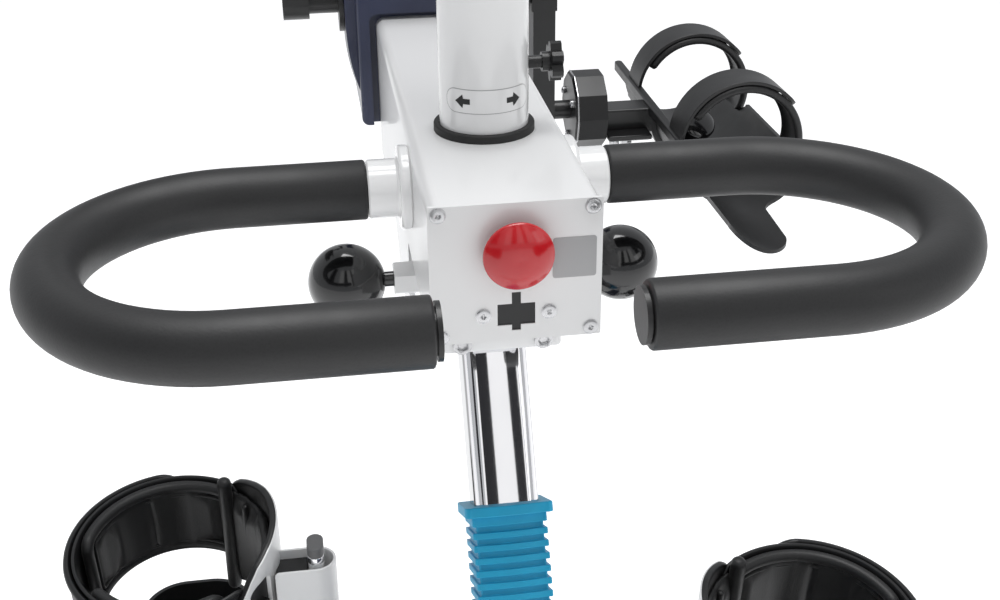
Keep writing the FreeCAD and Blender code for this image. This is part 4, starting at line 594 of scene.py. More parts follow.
class Workpiece:
    """A mesh on the bench: started as a primitive, then shaped in edit mode and finished."""

    def __init__(self, name: str, start: str, **where: object) -> None:
        """Put a primitive on the bench and open it for editing.

        Args:
            name: name of the piece.
            start: kind of primitive, such as circle.
            **where: its sizes, place and turn.
        """
        bpy.ops.object.select_all(action="DESELECT")
        getattr(bpy.ops.mesh, f"primitive_{start}_add")(**where)
        self.piece = bpy.context.object
        self.piece.name = self.piece.data.name = name
        bpy.ops.object.transform_apply(location=True, rotation=True, scale=True)
        bpy.ops.object.mode_set(mode="EDIT")
        bpy.ops.mesh.select_all(action="SELECT")

    @classmethod
    def drawn(cls, name: str, points: Sequence[Sequence[float]]) -> "Workpiece":
        """Start from a flat disc whose corners are carried onto an outline.

        Args:
            name: name of the piece.
            points: the outline's corners in order.

        Returns:
            The filled outline, open on the bench and selected.
        """
        work = cls(name, "circle", vertices=len(points), radius=DISC_RADIUS, fill_type="NGON")
        work.outline(points)
        return work

    def pick(self, kind: Part, wanted: Callable[[object], bool]) -> None:
        """Select only the parts of the mesh that are wanted.

        Args:
            kind: corners, edges or faces.
            wanted: test of one part.
        """
        bpy.ops.mesh.select_mode(type=kind.value)
        bpy.ops.mesh.select_all(action="DESELECT")
        mesh = bmesh.from_edit_mesh(self.piece.data)
        parts = {Part.CORNER: mesh.verts, Part.EDGE: mesh.edges, Part.FACE: mesh.faces}[kind]
        for part in parts:
            if wanted(part):
                part.select_set(True)
        bmesh.update_edit_mesh(self.piece.data)

    def pick_corners(self, wanted: Place) -> None:
        """Select corners by their place."""
        self.pick(Part.CORNER, lambda corner: wanted(corner.co))

    def pick_faces(self, wanted: Facing) -> None:
        """Select faces by their middle and normal."""
        self.pick(Part.FACE, lambda face: wanted(face.calc_center_median(), face.normal))

    def pick_edges(self, wanted: Facing) -> None:
        """Select edges by their two ends."""
        self.pick(Part.EDGE, lambda edge: wanted(edge.verts[0].co, edge.verts[1].co))

    def outline(self, points: Sequence[Sequence[float]]) -> None:
        """Move the corners of a flat disc onto an outline, one by one, and select it all.

        Args:
            points: the outline's corners in order, as many as the disc has.
        """
        mesh = bmesh.from_edit_mesh(self.piece.data)
        starts = [corner.co.copy() for corner in mesh.verts]
        bpy.ops.mesh.select_mode(type="VERT")
        for index, (start, point) in enumerate(zip(starts, points)):
            bpy.ops.mesh.select_all(action="DESELECT")
            mesh = bmesh.from_edit_mesh(self.piece.data)
            mesh.verts.ensure_lookup_table()
            mesh.verts[index].select_set(True)
            bmesh.update_edit_mesh(self.piece.data)
            bpy.ops.transform.translate(value=Vector(point) - start)
        bpy.ops.mesh.select_mode(type="FACE")
        bpy.ops.mesh.select_all(action="SELECT")

    def extrude(self, *move: float) -> None:
        """Extrude the selection by a move along X, Y and Z."""
        bpy.ops.mesh.extrude_region_move(TRANSFORM_OT_translate={"value": move})

    def slide(self, *move: float) -> None:
        """Move the selection along X, Y and Z."""
        bpy.ops.transform.translate(value=move)

    def swell(self, factors: Sequence[float], centre: Sequence[float]) -> None:
        """Scale the selection about a point."""
        bpy.ops.transform.resize(value=factors, center_override=centre)

    def step(self, move: Sequence[float], factors: Sequence[float], centre: Sequence[float]) -> None:
        """Extrude the selection and scale its new end about a point.

        Args:
            move: way that the new end goes.
            factors: scale of the new end along X, Y and Z.
            centre: point that stays where it is.
        """
        self.extrude(*move)
        self.swell(factors, centre)

    def spin(self, degrees: float, centre: Sequence[float], axis: Sequence[float], steps: int) -> None:
        """Carry the selection round an axis, by the right-hand rule, leaving a solid behind it.

        Args:
            degrees: how far it goes.
            centre: point on the axis.
            axis: direction of the axis.
            steps: number of straight pieces.
        """
        bpy.ops.mesh.spin(steps=steps, angle=-radians(degrees), center=centre, axis=axis)

    def bevel(self, width: float, segments: int = 2) -> None:
        """Bevel the selected edges."""
        bpy.ops.mesh.bevel(offset=width, segments=segments, affect="EDGES", profile=0.5)

    def inset(self, thickness: float) -> None:
        """Inset the selected faces."""
        bpy.ops.mesh.inset(thickness=thickness)

    def finish(self, smooth: float = 35.0) -> bpy.types.Object:
        """Close the mesh, turn its faces outwards and take it off the bench.

        Args:
            smooth: angle in degrees below which an edge is shaded smooth.

        Returns:
            The finished object.
        """
        bpy.ops.mesh.select_all(action="SELECT")
        bpy.ops.mesh.remove_doubles(threshold=TINY)
        bpy.ops.mesh.normals_make_consistent(inside=False)
        bpy.ops.object.mode_set(mode="OBJECT")
        bpy.ops.object.shade_smooth_by_angle(angle=radians(smooth))
        return self.piece


def work_on(piece: bpy.types.Object) -> None:
    """Make one object the only selected and active one.

    Args:
        piece: object to select.
    """
    bpy.ops.object.select_all(action="DESELECT")
    piece.select_set(True)
    bpy.context.view_layer.objects.active = piece


def shape(piece: bpy.types.Object, kind: str, **settings: object) -> None:
    """Run one modifier over a piece and apply it.

    Args:
        piece: object to change.
        kind: type of the modifier.
        **settings: its properties.
    """
    work_on(piece)
    modifier = piece.modifiers.new(kind.lower(), kind)
    for key, value in settings.items():
        setattr(modifier, key, value)
    bpy.ops.object.modifier_apply(modifier=modifier.name)


def soften(piece: bpy.types.Object, width: float, segments: int = 2,
           angle: float = 50.0) -> bpy.types.Object:
    """Round the edges of a finished piece that turn sharply.

    Args:
        piece: object to change.
        width: width of the rounding.
        segments: number of its facets.
        angle: least turn in degrees of an edge that is rounded.

    Returns:
        The piece.
    """
    shape(piece, "BEVEL", width=width, segments=segments, limit_method="ANGLE", angle_limit=radians(angle))
    return piece


def put_away(*pieces: bpy.types.Object) -> None:
    """Remove patterns and tools that are used up."""
    for piece in pieces:
        bpy.data.objects.remove(piece)


def cut_out(piece: bpy.types.Object, tool: bpy.types.Object) -> None:
    """Cut one piece's shape out of another and put the tool away."""
    shape(piece, "BOOLEAN", operation="DIFFERENCE", object=tool, solver="EXACT")
    put_away(tool)


def put(piece: bpy.types.Object, matrix: Matrix) -> bpy.types.Object:
    """Carry a piece's mesh to its place, and turn its faces outwards again if that mirrors it.

    Args:
        piece: finished piece.
        matrix: where it goes.

    Returns:
        The piece.
    """
    piece.data.transform(matrix)
    if matrix.determinant() < 0:
        work_on(piece)
        bpy.ops.object.mode_set(mode="EDIT")
        bpy.ops.mesh.select_all(action="SELECT")
        bpy.ops.mesh.normals_make_consistent(inside=False)
        bpy.ops.object.mode_set(mode="OBJECT")
    piece.data.update()
    return piece


def twin(piece: bpy.types.Object, name: str, matrix: Optional[Matrix] = None) -> bpy.types.Object:
    """A copy with its own mesh, carried to its own place.

    Args:
        piece: piece to copy.
        name: name of the copy.
        matrix: where the copy goes.

    Returns:
        The copy.
    """
    work_on(piece)
    bpy.ops.object.duplicate(linked=False)
    copy = bpy.context.object
    copy.name = copy.data.name = name
    return put(copy, matrix or Matrix())


def join(name: str, *pieces: bpy.types.Object) -> bpy.types.Object:
    """Make several pieces one object.

    Args:
        name: name of the whole.
        *pieces: its parts.

    Returns:
        The whole.
    """
    work_on(pieces[0])
    for piece in pieces:
        piece.select_set(True)
    bpy.ops.object.join()
    whole = bpy.context.object
    whole.name = whole.data.name = name
    return whole


def fit(piece: bpy.types.Object, slot: str, body: Optional[str], *nodes: str,
        finish: str = "") -> bpy.types.Object:
    """Dress a finished piece and hang it on its body.

    Args:
        piece: finished piece.
        slot: the record's material slot.
        body: body that it rides on, or None to leave it on no body.
        *nodes: nodes of the frame that it stands for.
        finish: name of its finish where that isn't its slot's.

    Returns:
        The piece.
    """
    piece.data.materials.clear()
    piece.data.materials.append(FINISHES[finish or slot].material())
    if body:
        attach(piece, body)
    if nodes:
        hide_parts(*nodes)
    LOG.info("piece %s in %s, %d faces", piece.name, finish or slot, len(piece.data.polygons))
    return piece


def pair(right: bpy.types.Object, to_left: Matrix) -> tuple[tuple[bpy.types.Object, Side], ...]:
    """A right piece and its copy on the left, each with its side.

    Args:
        right: finished right piece, whose name holds its side.
        to_left: where the copy goes.

    Returns:
        Both pieces and their sides.
    """
    left = twin(right, right.name.replace("right", "left"), to_left)
    return (right, Side.RIGHT), (left, Side.LEFT)


def arc(centre: Sequence[float], radius: float, start: int, end: int, step: int) -> list[tuple[float, float]]:
    """Points along an arc, both its ends among them.

    Args:
        centre: middle of the arc.
        radius: its radius.
        start: angle of its first point in degrees.
        end: angle of its last point in degrees.
        step: degrees from one point to the next.

    Returns:
        The points in order.
    """
    return [(centre[0] + radius * cos(radians(angle)), centre[1] + radius * sin(radians(angle)))
            for angle in range(start, end + 1, step)]


def rounded_end(half: float, corner: float, distance: float) -> float:
    """Half height of a strap at a distance from its rounded end.

    Args:
        half: half height of the strap.
        corner: radius of the end's corners.
        distance: distance along the strap from its end.

    Returns:
        The half height there.
    """
    if distance >= corner:
        return half
    return half - corner + sqrt(max(corner ** 2 - (corner - distance) ** 2, 0))


@dataclass
class Band:
    """A strap bent round the upright axis at the origin.

    Its angle is zero on the machine's side, at minus X, and grows towards plus Y.
    """

    name: str
    section: Sequence[tuple[float, float]]
    start: float
    end: float
    step: float = 2.0

    def __post_init__(self) -> None:
        """Work out the whole number of steps."""
        self.steps = max(1, round((self.end - self.start) / self.step))

    def build(self) -> Workpiece:
        """Outline the section at the band's start and spin it to the end.

        Returns:
            The band, still open on the bench.
        """
        turn = radians(self.start)
        work = Workpiece.drawn(self.name, [(-radius * cos(turn), radius * sin(turn), height)
                                           for radius, height in self.section])
        work.spin(self.start - self.end, (0, 0, 0), (0, 0, 1), self.steps)
        return work

    def trim(self, work: Workpiece, top: Callable[[float], float], foot: Callable[[float], float]) -> None:
        """Slide the upper and lower corners at each step to new heights.

        Args:
            work: the built band.
            top: height of its upper edge by angle.
            foot: height of its lower edge by angle.
        """
        heights = [height for _, height in self.section]
        high, low = max(heights), min(heights)
        middle = (high + low) / 2
        for index in range(self.steps + 1):
            angle = self.start + (self.end - self.start) * index / self.steps
            for edge, old, sign in ((top, high, 1), (foot, low, -1)):
                rise = edge(angle) - old
                if abs(rise) > TINY:
                    work.pick_corners(lambda spot: (spot.z - middle) * sign > 0 and self.near(spot, angle))
                    work.slide(0, 0, rise)

    def near(self, spot: Vector, angle: float) -> bool:
        """Whether a corner lies at one of the band's steps."""
        apart = (atan2(spot.y, -spot.x) - radians(angle)) % (2 * pi)
        return min(apart, 2 * pi - apart) < radians(self.step) * 0.4

    def ends(self, half: float, corner: float, radius: float) -> Callable[[float], float]:
        """Half height by angle of a band with rounded ends.

        Args:
            half: half height of the band.
            corner: radius of its ends' corners.
            radius: radius that it is bent to.

        Returns:
            The half height as a function of the angle.
        """

        def height(angle: float) -> float:
            """Half height at one angle."""
            gap = radians(min(angle - self.start, self.end - angle)) * radius
            return rounded_end(half, corner, max(gap, 0) + END_GAP * corner)

        return height

    def rounded(self, half: float, corner: float, radius: float) -> Workpiece:
        """Build the band and round both its ends, as far above its middle as below.

        Args:
            half: half height of the band.
            corner: radius of its ends' corners.
            radius: radius that it is bent to.

        Returns:
            The band, still open on the bench.
        """
        work = self.build()
        height = self.ends(half, corner, radius)
        self.trim(work, height, lambda angle: -height(angle))
        return work


# --- handlebars ----------------------------------------------------------------------------------

@dataclass
class Handlebars:
    """Foam grips of the two U handlebars, from the white socket round the bend to the end plug."""

    radius: float = 18.6 * MM
    lip_radius: float = 17.0 * MM
    lip: float = 1.4 * MM
    fill: float = 1.0
    start: float = 75.6 * MM
    bend_x: float = 156 * MM
    bend_y: float = -42.85 * MM
    bend: float = 97.15 * MM
    height: float = 869.7 * MM
    end: float = 54.6 * MM

    def grip(self) -> bpy.types.Object:
        """Right grip: a disc pushed out, spun round the bend and drawn back to its rounded end.

        Returns:
            The grip.
        """
        axis = (self.start, self.bend_y + self.bend, self.height)
        back = (self.end, self.bend_y - self.bend, self.height)
        lip = self.radius / self.lip_radius
        part = (1 + 2 * lip) / 3
        near, far = self.lip * 0.35, self.lip * 0.65
        work = Workpiece("foam_grip_right", "circle", vertices=48, radius=self.lip_radius,
                         fill_type="NGON", location=axis, rotation=(0, pi / 2, 0))
        work.step((near, 0, 0), (1, part, part), axis)
        work.step((far, 0, 0), (1, lip / part, lip / part), axis)
        work.extrude(self.bend_x - self.start - self.lip, 0, 0)
        work.spin(-180, (self.bend_x, self.bend_y, self.height), (0, 0, 1), 40)
        work.extrude(self.end + self.lip - self.bend_x, 0, 0)
        work.step((-far, 0, 0), (1, part / lip, part / lip), back)
        work.step((-near, 0, 0), (1, 1 / part, 1 / part), back)
        return work.finish(50)

    def build(self) -> None:
        """Make both grips."""
        for piece, side in pair(self.grip(), Side.LEFT.mirror):
            fit(piece, "foam", f"{side}_handle", f"handle_foam_{side}")


# --- mast ----------------------------------------------------------------------------------------

@dataclass
class Mast:
    """Bellows that folds over the mast, and the collar that clamps its top."""

    top: tuple[float, float, float] = (0, 82 * MM, 817.8 * MM)
    lean: float = -30.0
    collar_top: float = 173 * MM
    collar_foot: float = 179.7 * MM
    foot: float = 345.6 * MM
    rib: float = 24.2 * MM
    root: float = 21.9 * MM
    bow: float = 2.6 * MM
    corner: float = 1.8 * MM
    pitch: float = 8 * MM
    collar: float = 28.4 * MM
    collar_corner: float = 4.4 * MM
    collar_bow: float = 3.4 * MM

    def section(self, half: float, corner: float, bow: float) -> list[tuple[float, float]]:
        """Outline of a fold: a square with rounded corners and bowed sides.

        Args:
            half: half its side.
            corner: radius of its corners.
            bow: how far the middle of each side stands out.

        Returns:
            The outline's corners in order.
        """
        points = []
        for quarter in range(4):
            turn = Matrix.Rotation(quarter * pi / 2, 2)
            out, back = (bow, bow * 0.35) if quarter % 2 else (0, 0)
            for share in (-0.97, -0.7, -0.36, 0, 0.36, 0.7, 0.97):
                points.append(turn @ Vector((half - back + out * (1 - share ** 2), share * (half - corner))))
            points += [turn @ Vector(spot) for spot in arc((half - corner,) * 2, corner, 18, 72, 27)]
        return [(point.x, point.y) for point in points]

    def to_mast(self) -> Matrix:
        """Place of the mast's own frame, whose Z runs up along it."""
        return Matrix.Translation(self.top) @ Matrix.Rotation(radians(self.lean), 4, "X")

    def fold(self) -> bpy.types.Object:
        """Bellows: one outline drawn up through lips and roots.

        Returns:
            The bellows.
        """
        outline = self.section(self.rib, self.corner, self.bow)
        work = Workpiece.drawn("bellows_folds", [(x, y, -self.foot) for x, y in outline])
        thin, height = self.root / self.rib, -self.foot
        count = int((self.foot - self.collar_foot) / self.pitch)
        rest = self.foot - self.collar_foot - count * self.pitch
        for index in range(count):
            centre = (0, 0, height)
            work.extrude(0, 0, self.pitch / 2)
            work.step((0, 0, 0), (thin, thin, 1), centre)
            work.extrude(0, 0, self.pitch / 2)
            height += self.pitch
            if index < count - 1 or rest > 0:
                work.step((0, 0, 0), (1 / thin, 1 / thin, 1), centre)
        work.extrude(0, 0, max(rest, 0.2 * MM))
        return put(soften(work.finish(40), 0.45 * MM), self.to_mast())

    def clamp(self) -> bpy.types.Object:
        """Collar: a bowed square plate with softened rims.

        Returns:
            The collar.
        """
        outline = self.section(self.collar, self.collar_corner, self.collar_bow)
        work = Workpiece.drawn("bellows_top_collar", [(x, y, -self.collar_foot) for x, y in outline])
        work.extrude(0, 0, self.collar_foot - self.collar_top)
        return put(soften(work.finish(40), 0.8 * MM, 3), self.to_mast())

    def build(self) -> None:
        """Make the bellows and its collar."""
        folds = fit(self.fold(), "bellows_blue", None, "mast_bellows")
        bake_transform(folds)
        fit(self.clamp(), "bellows_blue", "head", "bellows_collar")


# --- calf cuffs ----------------------------------------------------------------------------------

@dataclass
class Cuff:
    """Both calf cuffs: strap band with its overlap, white shell, liner, puffed pads, rolls and piping.

    They are modelled once in the right cuff's own upright frame, whose origin is its middle, and copied
    to both sides. The loop, its guide block and the post's ring and cap stand level beside them.
    """

    reach: float = 247 * MM
    middle: float = 162 * MM
    back: float = 8 * MM
    tilt: float = 9.0
    half: float = 40 * MM
    rise: dict = field(default_factory=lambda: {Side.RIGHT: 15 * MM, Side.LEFT: 0.0})
    crest_marks: tuple[tuple[float, float], ...] = (
        (-62, 10), (-60, 14), (-48, 32), (-42, 43), (-36, 51), (-25, 56), (-10, 58.0), (5, 58.5),
        (15, 58.3), (26, 56), (36, 51.5), (44, 47), (50, 43), (54, 38), (62, 22))
    peak: float = 58.5 * MM
    strap_span: tuple[float, float] = (48, 318)
    overlap_span: tuple[float, float] = (86, 250)
    liner_span: tuple[float, float] = (-58, 54)
    liner_bend: float = -52
    shell_end: float = 62
    slot_span: tuple[float, float] = (-47, -30)
    back_span: tuple[float, float] = (58, 172)
    front_span: tuple[float, float] = (214, 302)
    shell_span: tuple[float, float] = (-48, 58)
    pad_foot: float = -84 * MM
    pad_fill: float = 0.6
    roll_radius: float = 5 * MM
    roll_line: float = 73.4 * MM
    piping_radius: float = 1.2 * MM
    piping_line: float = 70.2 * MM
    post: float = 129 * MM
    post_back: float = 31 * MM
    post_half: float = 6.5 * MM
    post_flat: float = 5 * MM
    ring: tuple[float, float] = (190.6 * MM, 197 * MM)
    cap: tuple[float, float] = (197.1 * MM, 206 * MM)
    pressure: float = 4.0
    stiffness: float = 12
    frames: int = 20

    def to_cuff(self, side: Side) -> Matrix:
        """Place of one cuff's frame in the machine, mirrored on the left.

        Args:
            side: side of the machine.

        Returns:
            The placing matrix.
        """
        depth, height = PEDAL_AXLES[side]
        place = Matrix.Translation((side.sign * self.reach, depth + self.back,
                                    height + self.middle + self.rise[side]))
        return place @ Matrix.Rotation(radians(self.tilt), 4, "X") @ side.mirror

    def beaded(self, inner: float, outer: float, half: float, bead: float) -> list[tuple[float, float]]:
        """Section of a strap whose rims are rolled into beads on its outer face.

        Args:
            inner: radius of its inner face.
            outer: radius of its beads' crowns.
            half: half its height.
            bead: radius of the beads.

        Returns:
            Radius and height of the section's corners in order.
        """
        face = outer - bead * 0.75
        rim = [(inner, half - bead * 0.6), (inner + bead * 0.5, half), (outer - bead * 0.7, half),
               (outer - bead * 0.15, half - bead * 0.35), (outer, half - bead),
               (outer - bead * 0.15, half - bead * 1.65), (face, half - bead * 2.0),
               (face - 0.2 * MM, half - bead * 2.5), (face + 0.35 * MM, half - bead * 3.2)]
        return rim + [(radius, -height) for radius, height in reversed(rim)]

    def crest(self, angle: float) -> float:
        """Height of the shell's upper edge by angle.

        Args:
            angle: angle about the axis in degrees.

        Returns:
            The height.
        """
        for (first, low), (second, high) in zip(self.crest_marks, self.crest_marks[1:]):
            if first <= angle <= second:
                share = (angle - first) / (second - first)
                return (low + (high - low) * share) * MM
        return self.crest_marks[-1][1] * MM

    def strap(self) -> bpy.types.Object:
        """Outer band, from inside the shell's back round to its front slot."""
        section = self.beaded(79.8 * MM, 83.4 * MM, self.half, 1.7 * MM)
        band = Band("calf_band_pattern", section, *self.strap_span)
        return band.rounded(self.half, 14 * MM, 82 * MM).finish(50)

    def overlap(self) -> bpy.types.Object:
        """Closing layer that laps over the band round its far side.

        Returns:
            The layer.
        """
        half = self.half - 0.8 * MM
        section = self.beaded(84.2 * MM, 90.2 * MM, half, 3.4 * MM)
        band = Band("calf_overlap_pattern", section, *self.overlap_span)
        return band.rounded(half, 24 * MM, 86 * MM).finish(50)

    def liner(self) -> bpy.types.Object:
        """Black liner inside the shell, with a thick rounded rim that follows the shell's edge.

        Returns:
            The liner.
        """
        peak, foot, bend = self.peak, -43 * MM, self.liner_bend
        section = [(82.2 * MM, foot + 1 * MM), (83 * MM, foot), (84.6 * MM, foot), (85.2 * MM, foot + 1 * MM),
                   (85.2 * MM, peak + 0.1 * MM), (87.1 * MM, peak + 0.2 * MM), (87.1 * MM, peak + 0.7 * MM),
                   (86.4 * MM, peak + 1.2 * MM), (84 * MM, peak + 1.3 * MM), (82.8 * MM, peak + 0.9 * MM),
                   (82 * MM, peak), (81.7 * MM, peak - 1.4 * MM), (81.9 * MM, peak - 2.8 * MM),
                   (82.2 * MM, peak - 3.6 * MM)]
        band = Band("shell_liner_pattern", section, *self.liner_span)
        work = band.build()
        band.trim(work, lambda angle: self.crest(angle) + 1.3 * MM,
                  lambda angle: foot if angle > bend else foot + (bend - angle) * 1.6 * MM)
        return work.finish(50)

    def pad(self, name: str, span: tuple[float, float], top: float, foot: float, outer: float = 77 * MM,
            thick: float = 5 * MM) -> bpy.types.Object:
        """Foam pad under soft lining, puffed by a short cloth run and held to a thin crown.

        Args:
            name: name of the pad.
            span: angles of its two ends.
            top: height of its upper rim.
            foot: height of its lower rim.
            outer: radius of its back.
            thick: thickness before it swells.

        Returns:
            The pad.
        """
        middle, half = (top + foot) / 2, (top - foot) / 2
        inner = outer - thick
        section = [(inner, middle - half), (outer, middle - half), (outer, middle + half),
                   (inner, middle + half)]
        band = Band(name, section, *span)
        work = band.build()
        rim = band.ends(half, 9 * MM, inner)
        band.trim(work, lambda angle: middle + rim(angle), lambda angle: middle - rim(angle))
        pad = work.finish(50)
        shape(pad, "REMESH", mode="VOXEL", voxel_size=4.2 * MM, use_smooth_shade=True)
        self.puff(pad, 3.2 * MM, outer + 2.4 * MM)
        shape(pad, "SUBSURF", levels=1, render_levels=1)
        work_on(pad)
        bpy.ops.object.shade_smooth()
        return pad

    def puff(self, pad: bpy.types.Object, cap: float, wall: float) -> None:
        """Inflate a pad as cloth and apply it, no point further than a cap.

        Args:
            pad: remeshed pad.
            cap: furthest that a point may move.
            wall: radius of the wall behind it.
        """
        rest = [corner.co.copy() for corner in pad.data.vertices]
        work_on(pad)
        cloth = pad.modifiers.new("cloth", "CLOTH")
        cloth.settings.use_pressure = True
        cloth.settings.uniform_pressure_force = self.pressure
        cloth.settings.effector_weights.gravity = 0.0
        cloth.settings.tension_stiffness = cloth.settings.compression_stiffness = self.stiffness
        cloth.point_cache.frame_start, cloth.point_cache.frame_end = 1, self.frames
        for number in range(1, self.frames + 1):
            bpy.context.scene.frame_set(number)
        bpy.ops.object.modifier_apply(modifier="cloth")
        bpy.context.scene.frame_set(1)
        for corner, start in zip(pad.data.vertices, rest):
            move = corner.co - start
            if move.length > cap:
                corner.co = start + move * (cap / move.length)
            spread = hypot(corner.co.x, corner.co.y)
            if spread > wall:
                corner.co.x *= wall / spread
                corner.co.y *= wall / spread

    def roll(self, name: str, radius: float, line: float, half: float, span: tuple[float, float],
             corner: float, closed: bool = False, sides: int = 16) -> bpy.types.Object:
        """Rolled edge or piping of a pad, run flat round its outline and then wrapped round the axis.

        Args:
            name: name of the roll.
            radius: radius of its section.
            line: radius that it is bent to.
            half: height of its upper run above the cuff's middle, and depth of its lower run below it.
            span: angle where it begins and angle of its upright run.
            corner: radius of its corners.
            closed: whether it comes back up at its start.
            sides: sides of its section.

        Returns:
            The roll.
        """
        top, foot = half, -half
        first, last = radians(span[0]) * line, radians(span[1]) * line
        begin = first + (corner if closed else 0)
        run = last - corner - begin
        steps = max(2, round(run / (3 * MM)))
        work = Workpiece(name, "circle", vertices=sides, radius=radius, fill_type="NGON",
                         location=(begin, 0, top), rotation=(0, pi / 2, 0))
        for _ in range(steps):
            work.extrude(run / steps, 0, 0)
        work.spin(90, (last - corner, 0, top - corner), (0, 1, 0), 6)
        work.extrude(0, 0, foot - top + 2 * corner)
        work.spin(90, (last - corner, 0, foot + corner), (0, 1, 0), 6)
        for _ in range(steps):
            work.extrude(-run / steps, 0, 0)
        if closed:
            work.spin(90, (begin, 0, foot + corner), (0, 1, 0), 6)
            work.extrude(0, 0, top - foot - 2 * corner)
            work.spin(90, (begin, 0, top - corner), (0, 1, 0), 6)
            work.pick(Part.FACE, lambda face: len(face.verts) == sides)
            bpy.ops.mesh.delete(type="FACE")
        roll = work.finish(60)
        for spot in roll.data.vertices:
            angle, reach = spot.co.x / line, line + spot.co.y
            spot.co = (-reach * cos(angle), reach * sin(angle), spot.co.z)
        return roll

    def end_roll(self) -> bpy.types.Object:
        """Thick upright roll where the back pad meets the shell, bent a little at half its height."""
        return self.upright("shell_pad_roll_pattern", 55, 73.2 * MM, 6.3 * MM, 51 * MM, self.pad_foot, 3 * MM)

    def ridge(self) -> bpy.types.Object:
        """Thin upright ridge down the shell pad."""
        return self.upright("shell_pad_ridge_pattern", 39, 75.4 * MM, 3.2 * MM, 30 * MM, -80 * MM, 1 * MM)

    def upright(self, name: str, at: float, line: float, wide: float, top: float, foot: float,
                lean: float) -> bpy.types.Object:
        """A roll that stands upright, its lower half leaning along the pad.

        Args:
            name: name of the roll.
            at: angle where it stands.
            line: distance from the cuff's axis.
            wide: radius of the roll.
            top: height of its head.
            foot: height of its foot.
            lean: how far the foot has drifted along the pad.

        Returns:
            The roll.
        """
        angle = radians(at)
        spot = Vector((-line * cos(angle), line * sin(angle), 0))
        along = Vector((sin(angle), cos(angle), 0))
        knee, count = 4 * MM, 14

        def centre(height: float) -> Vector:
            """Centre of the roll at a height.

            Args:
                height: height above the cuff's middle.

            Returns:
                The centre.
            """
            share = min(max((height - knee) / (foot - knee), 0), 1)
            drift = lean * (share * share * (3 - 2 * share) * 0.4 + share * 0.6)
            return spot + along * drift + UP * height

        ends = ((0.0, 0.45), (0.18, 0.74), (0.45, 0.92), (0.9, 1.0))
        levels = [(foot + far * wide, share) for far, share in ends]
        levels += [(foot + wide + (top - foot - 2 * wide) * index / count, 1.0) for index in range(1, count)]
        levels += [(top - far * wide, share) for far, share in reversed(ends)]
        work = Workpiece(name, "circle", vertices=24, radius=wide * levels[0][1], fill_type="NGON",
                         location=tuple(centre(levels[0][0])))
        for (low, before), (high, after) in zip(levels, levels[1:]):
            move, place = centre(high) - centre(low), centre(high)
            work.step(tuple(move), (after / before, after / before, 1), tuple(place))
        return work.finish(60)

    def loop_wall(self) -> bpy.types.Object:
        """Thin raised wall of the loop round the post, open towards the shell.

        Returns:
            The wall.
        """
        bend, half, wall, foot, top = 129.2 * MM, 16.9 * MM, 2.3 * MM, -18 * MM, 27.5 * MM
        back, front, inner = 162 * MM, 163.5 * MM, half - wall
        points = [(back, half), *arc((bend, 0), half, 90, 270, 12), (front, -half), (front, -inner),
                  *reversed(arc((bend, 0), inner, 90, 270, 12)), (back, inner)]
        work = Workpiece.drawn("loop_wall_pattern", [(across - self.reach, depth - self.post_back, foot)
                                                     for across, depth in points])
        work.extrude(0, 0, top - foot)
        work.pick_edges(lambda first, second: min(first.x, second.x) > front - self.reach - 10 * TINY
                        and abs(first.z - second.z) < TINY)
        work.bevel(4 * MM, 5)
        return soften(work.finish(40), 0.7 * MM, 3, 60)

    def loop_block(self) -> bpy.types.Object:
        """Black guide block inside the loop, between the shell and the post.

        Returns:
            The block.
        """
        work = Workpiece("loop_block_pattern", "cube", size=1, scale=(26 * MM, 29 * MM, 34 * MM),
                         location=(149.6 * MM - self.reach, -self.post_back, 2 * MM))
        work.pick_faces(lambda middle, normal: normal.z > 0.9)
        work.inset(2.4 * MM)
        work.slide(0, 0, -1.2 * MM)
        return soften(work.finish(40), 0.8 * MM)

    def stadium(self, name: str, side: Side, grow: float, span: tuple[float, float],
                round_top: float) -> bpy.types.Object:
        """Slot-shaped slice of a calf post.

        Args:
            name: name of the slice.
            side: side of the machine.
            grow: how far it stands out beyond the post.
            span: heights of its foot and its top above the pedal's axle.
            round_top: rounding of its rims.

        Returns:
            The slice in its place.
        """
        depth, height = PEDAL_AXLES[side]
        foot, top = span
        points = arc((0, self.post_flat), self.post_half + grow, 0, 180, 12)
        points += [(-across, -along) for across, along in points]
        post = side.sign * self.post, depth + self.back - self.post_back
        work = Workpiece.drawn(name, [(post[0] + across, post[1] + along, height + foot)
                                      for across, along in points])
        work.extrude(0, 0, top - foot)
        return soften(work.finish(50), round_top, 3, 60)

    def shell(self) -> bpy.types.Object:
        """The white shell: sloping front, rounded lower corners and the slot for the strap's end.

        Returns:
            The shell.
        """
        inner, outer, foot, peak, corner = 85.5 * MM, 88.5 * MM, -44 * MM, self.peak, 14 * MM
        section = [(inner, foot + 0.6 * MM), (inner + 0.6 * MM, foot), (outer - 0.6 * MM, foot),
                   (outer, foot + 0.6 * MM), (outer, peak - 0.1 * MM), (outer - 0.2 * MM, peak + 0.4 * MM),
                   (outer - 0.7 * MM, peak + 0.6 * MM), (inner, peak + 0.6 * MM)]

        def base(angle: float) -> float:
            """Height of the lower edge by angle."""
            gap = radians(self.shell_end - abs(angle)) * outer
            return foot + corner - rounded_end(corner, corner, gap + END_GAP * corner)

        band = Band("calf_shell_pattern", section, -self.shell_end, self.shell_end)
        work = band.build()
        band.trim(work, lambda angle: self.crest(angle) + 0.6 * MM, base)
        shell = work.finish(35)
        cut_out(shell, self.slot_tool())
        soften(shell, 0.5 * MM, 2, 70)
        work_on(shell)
        bpy.ops.object.shade_smooth_by_angle(angle=radians(35))
        return shell

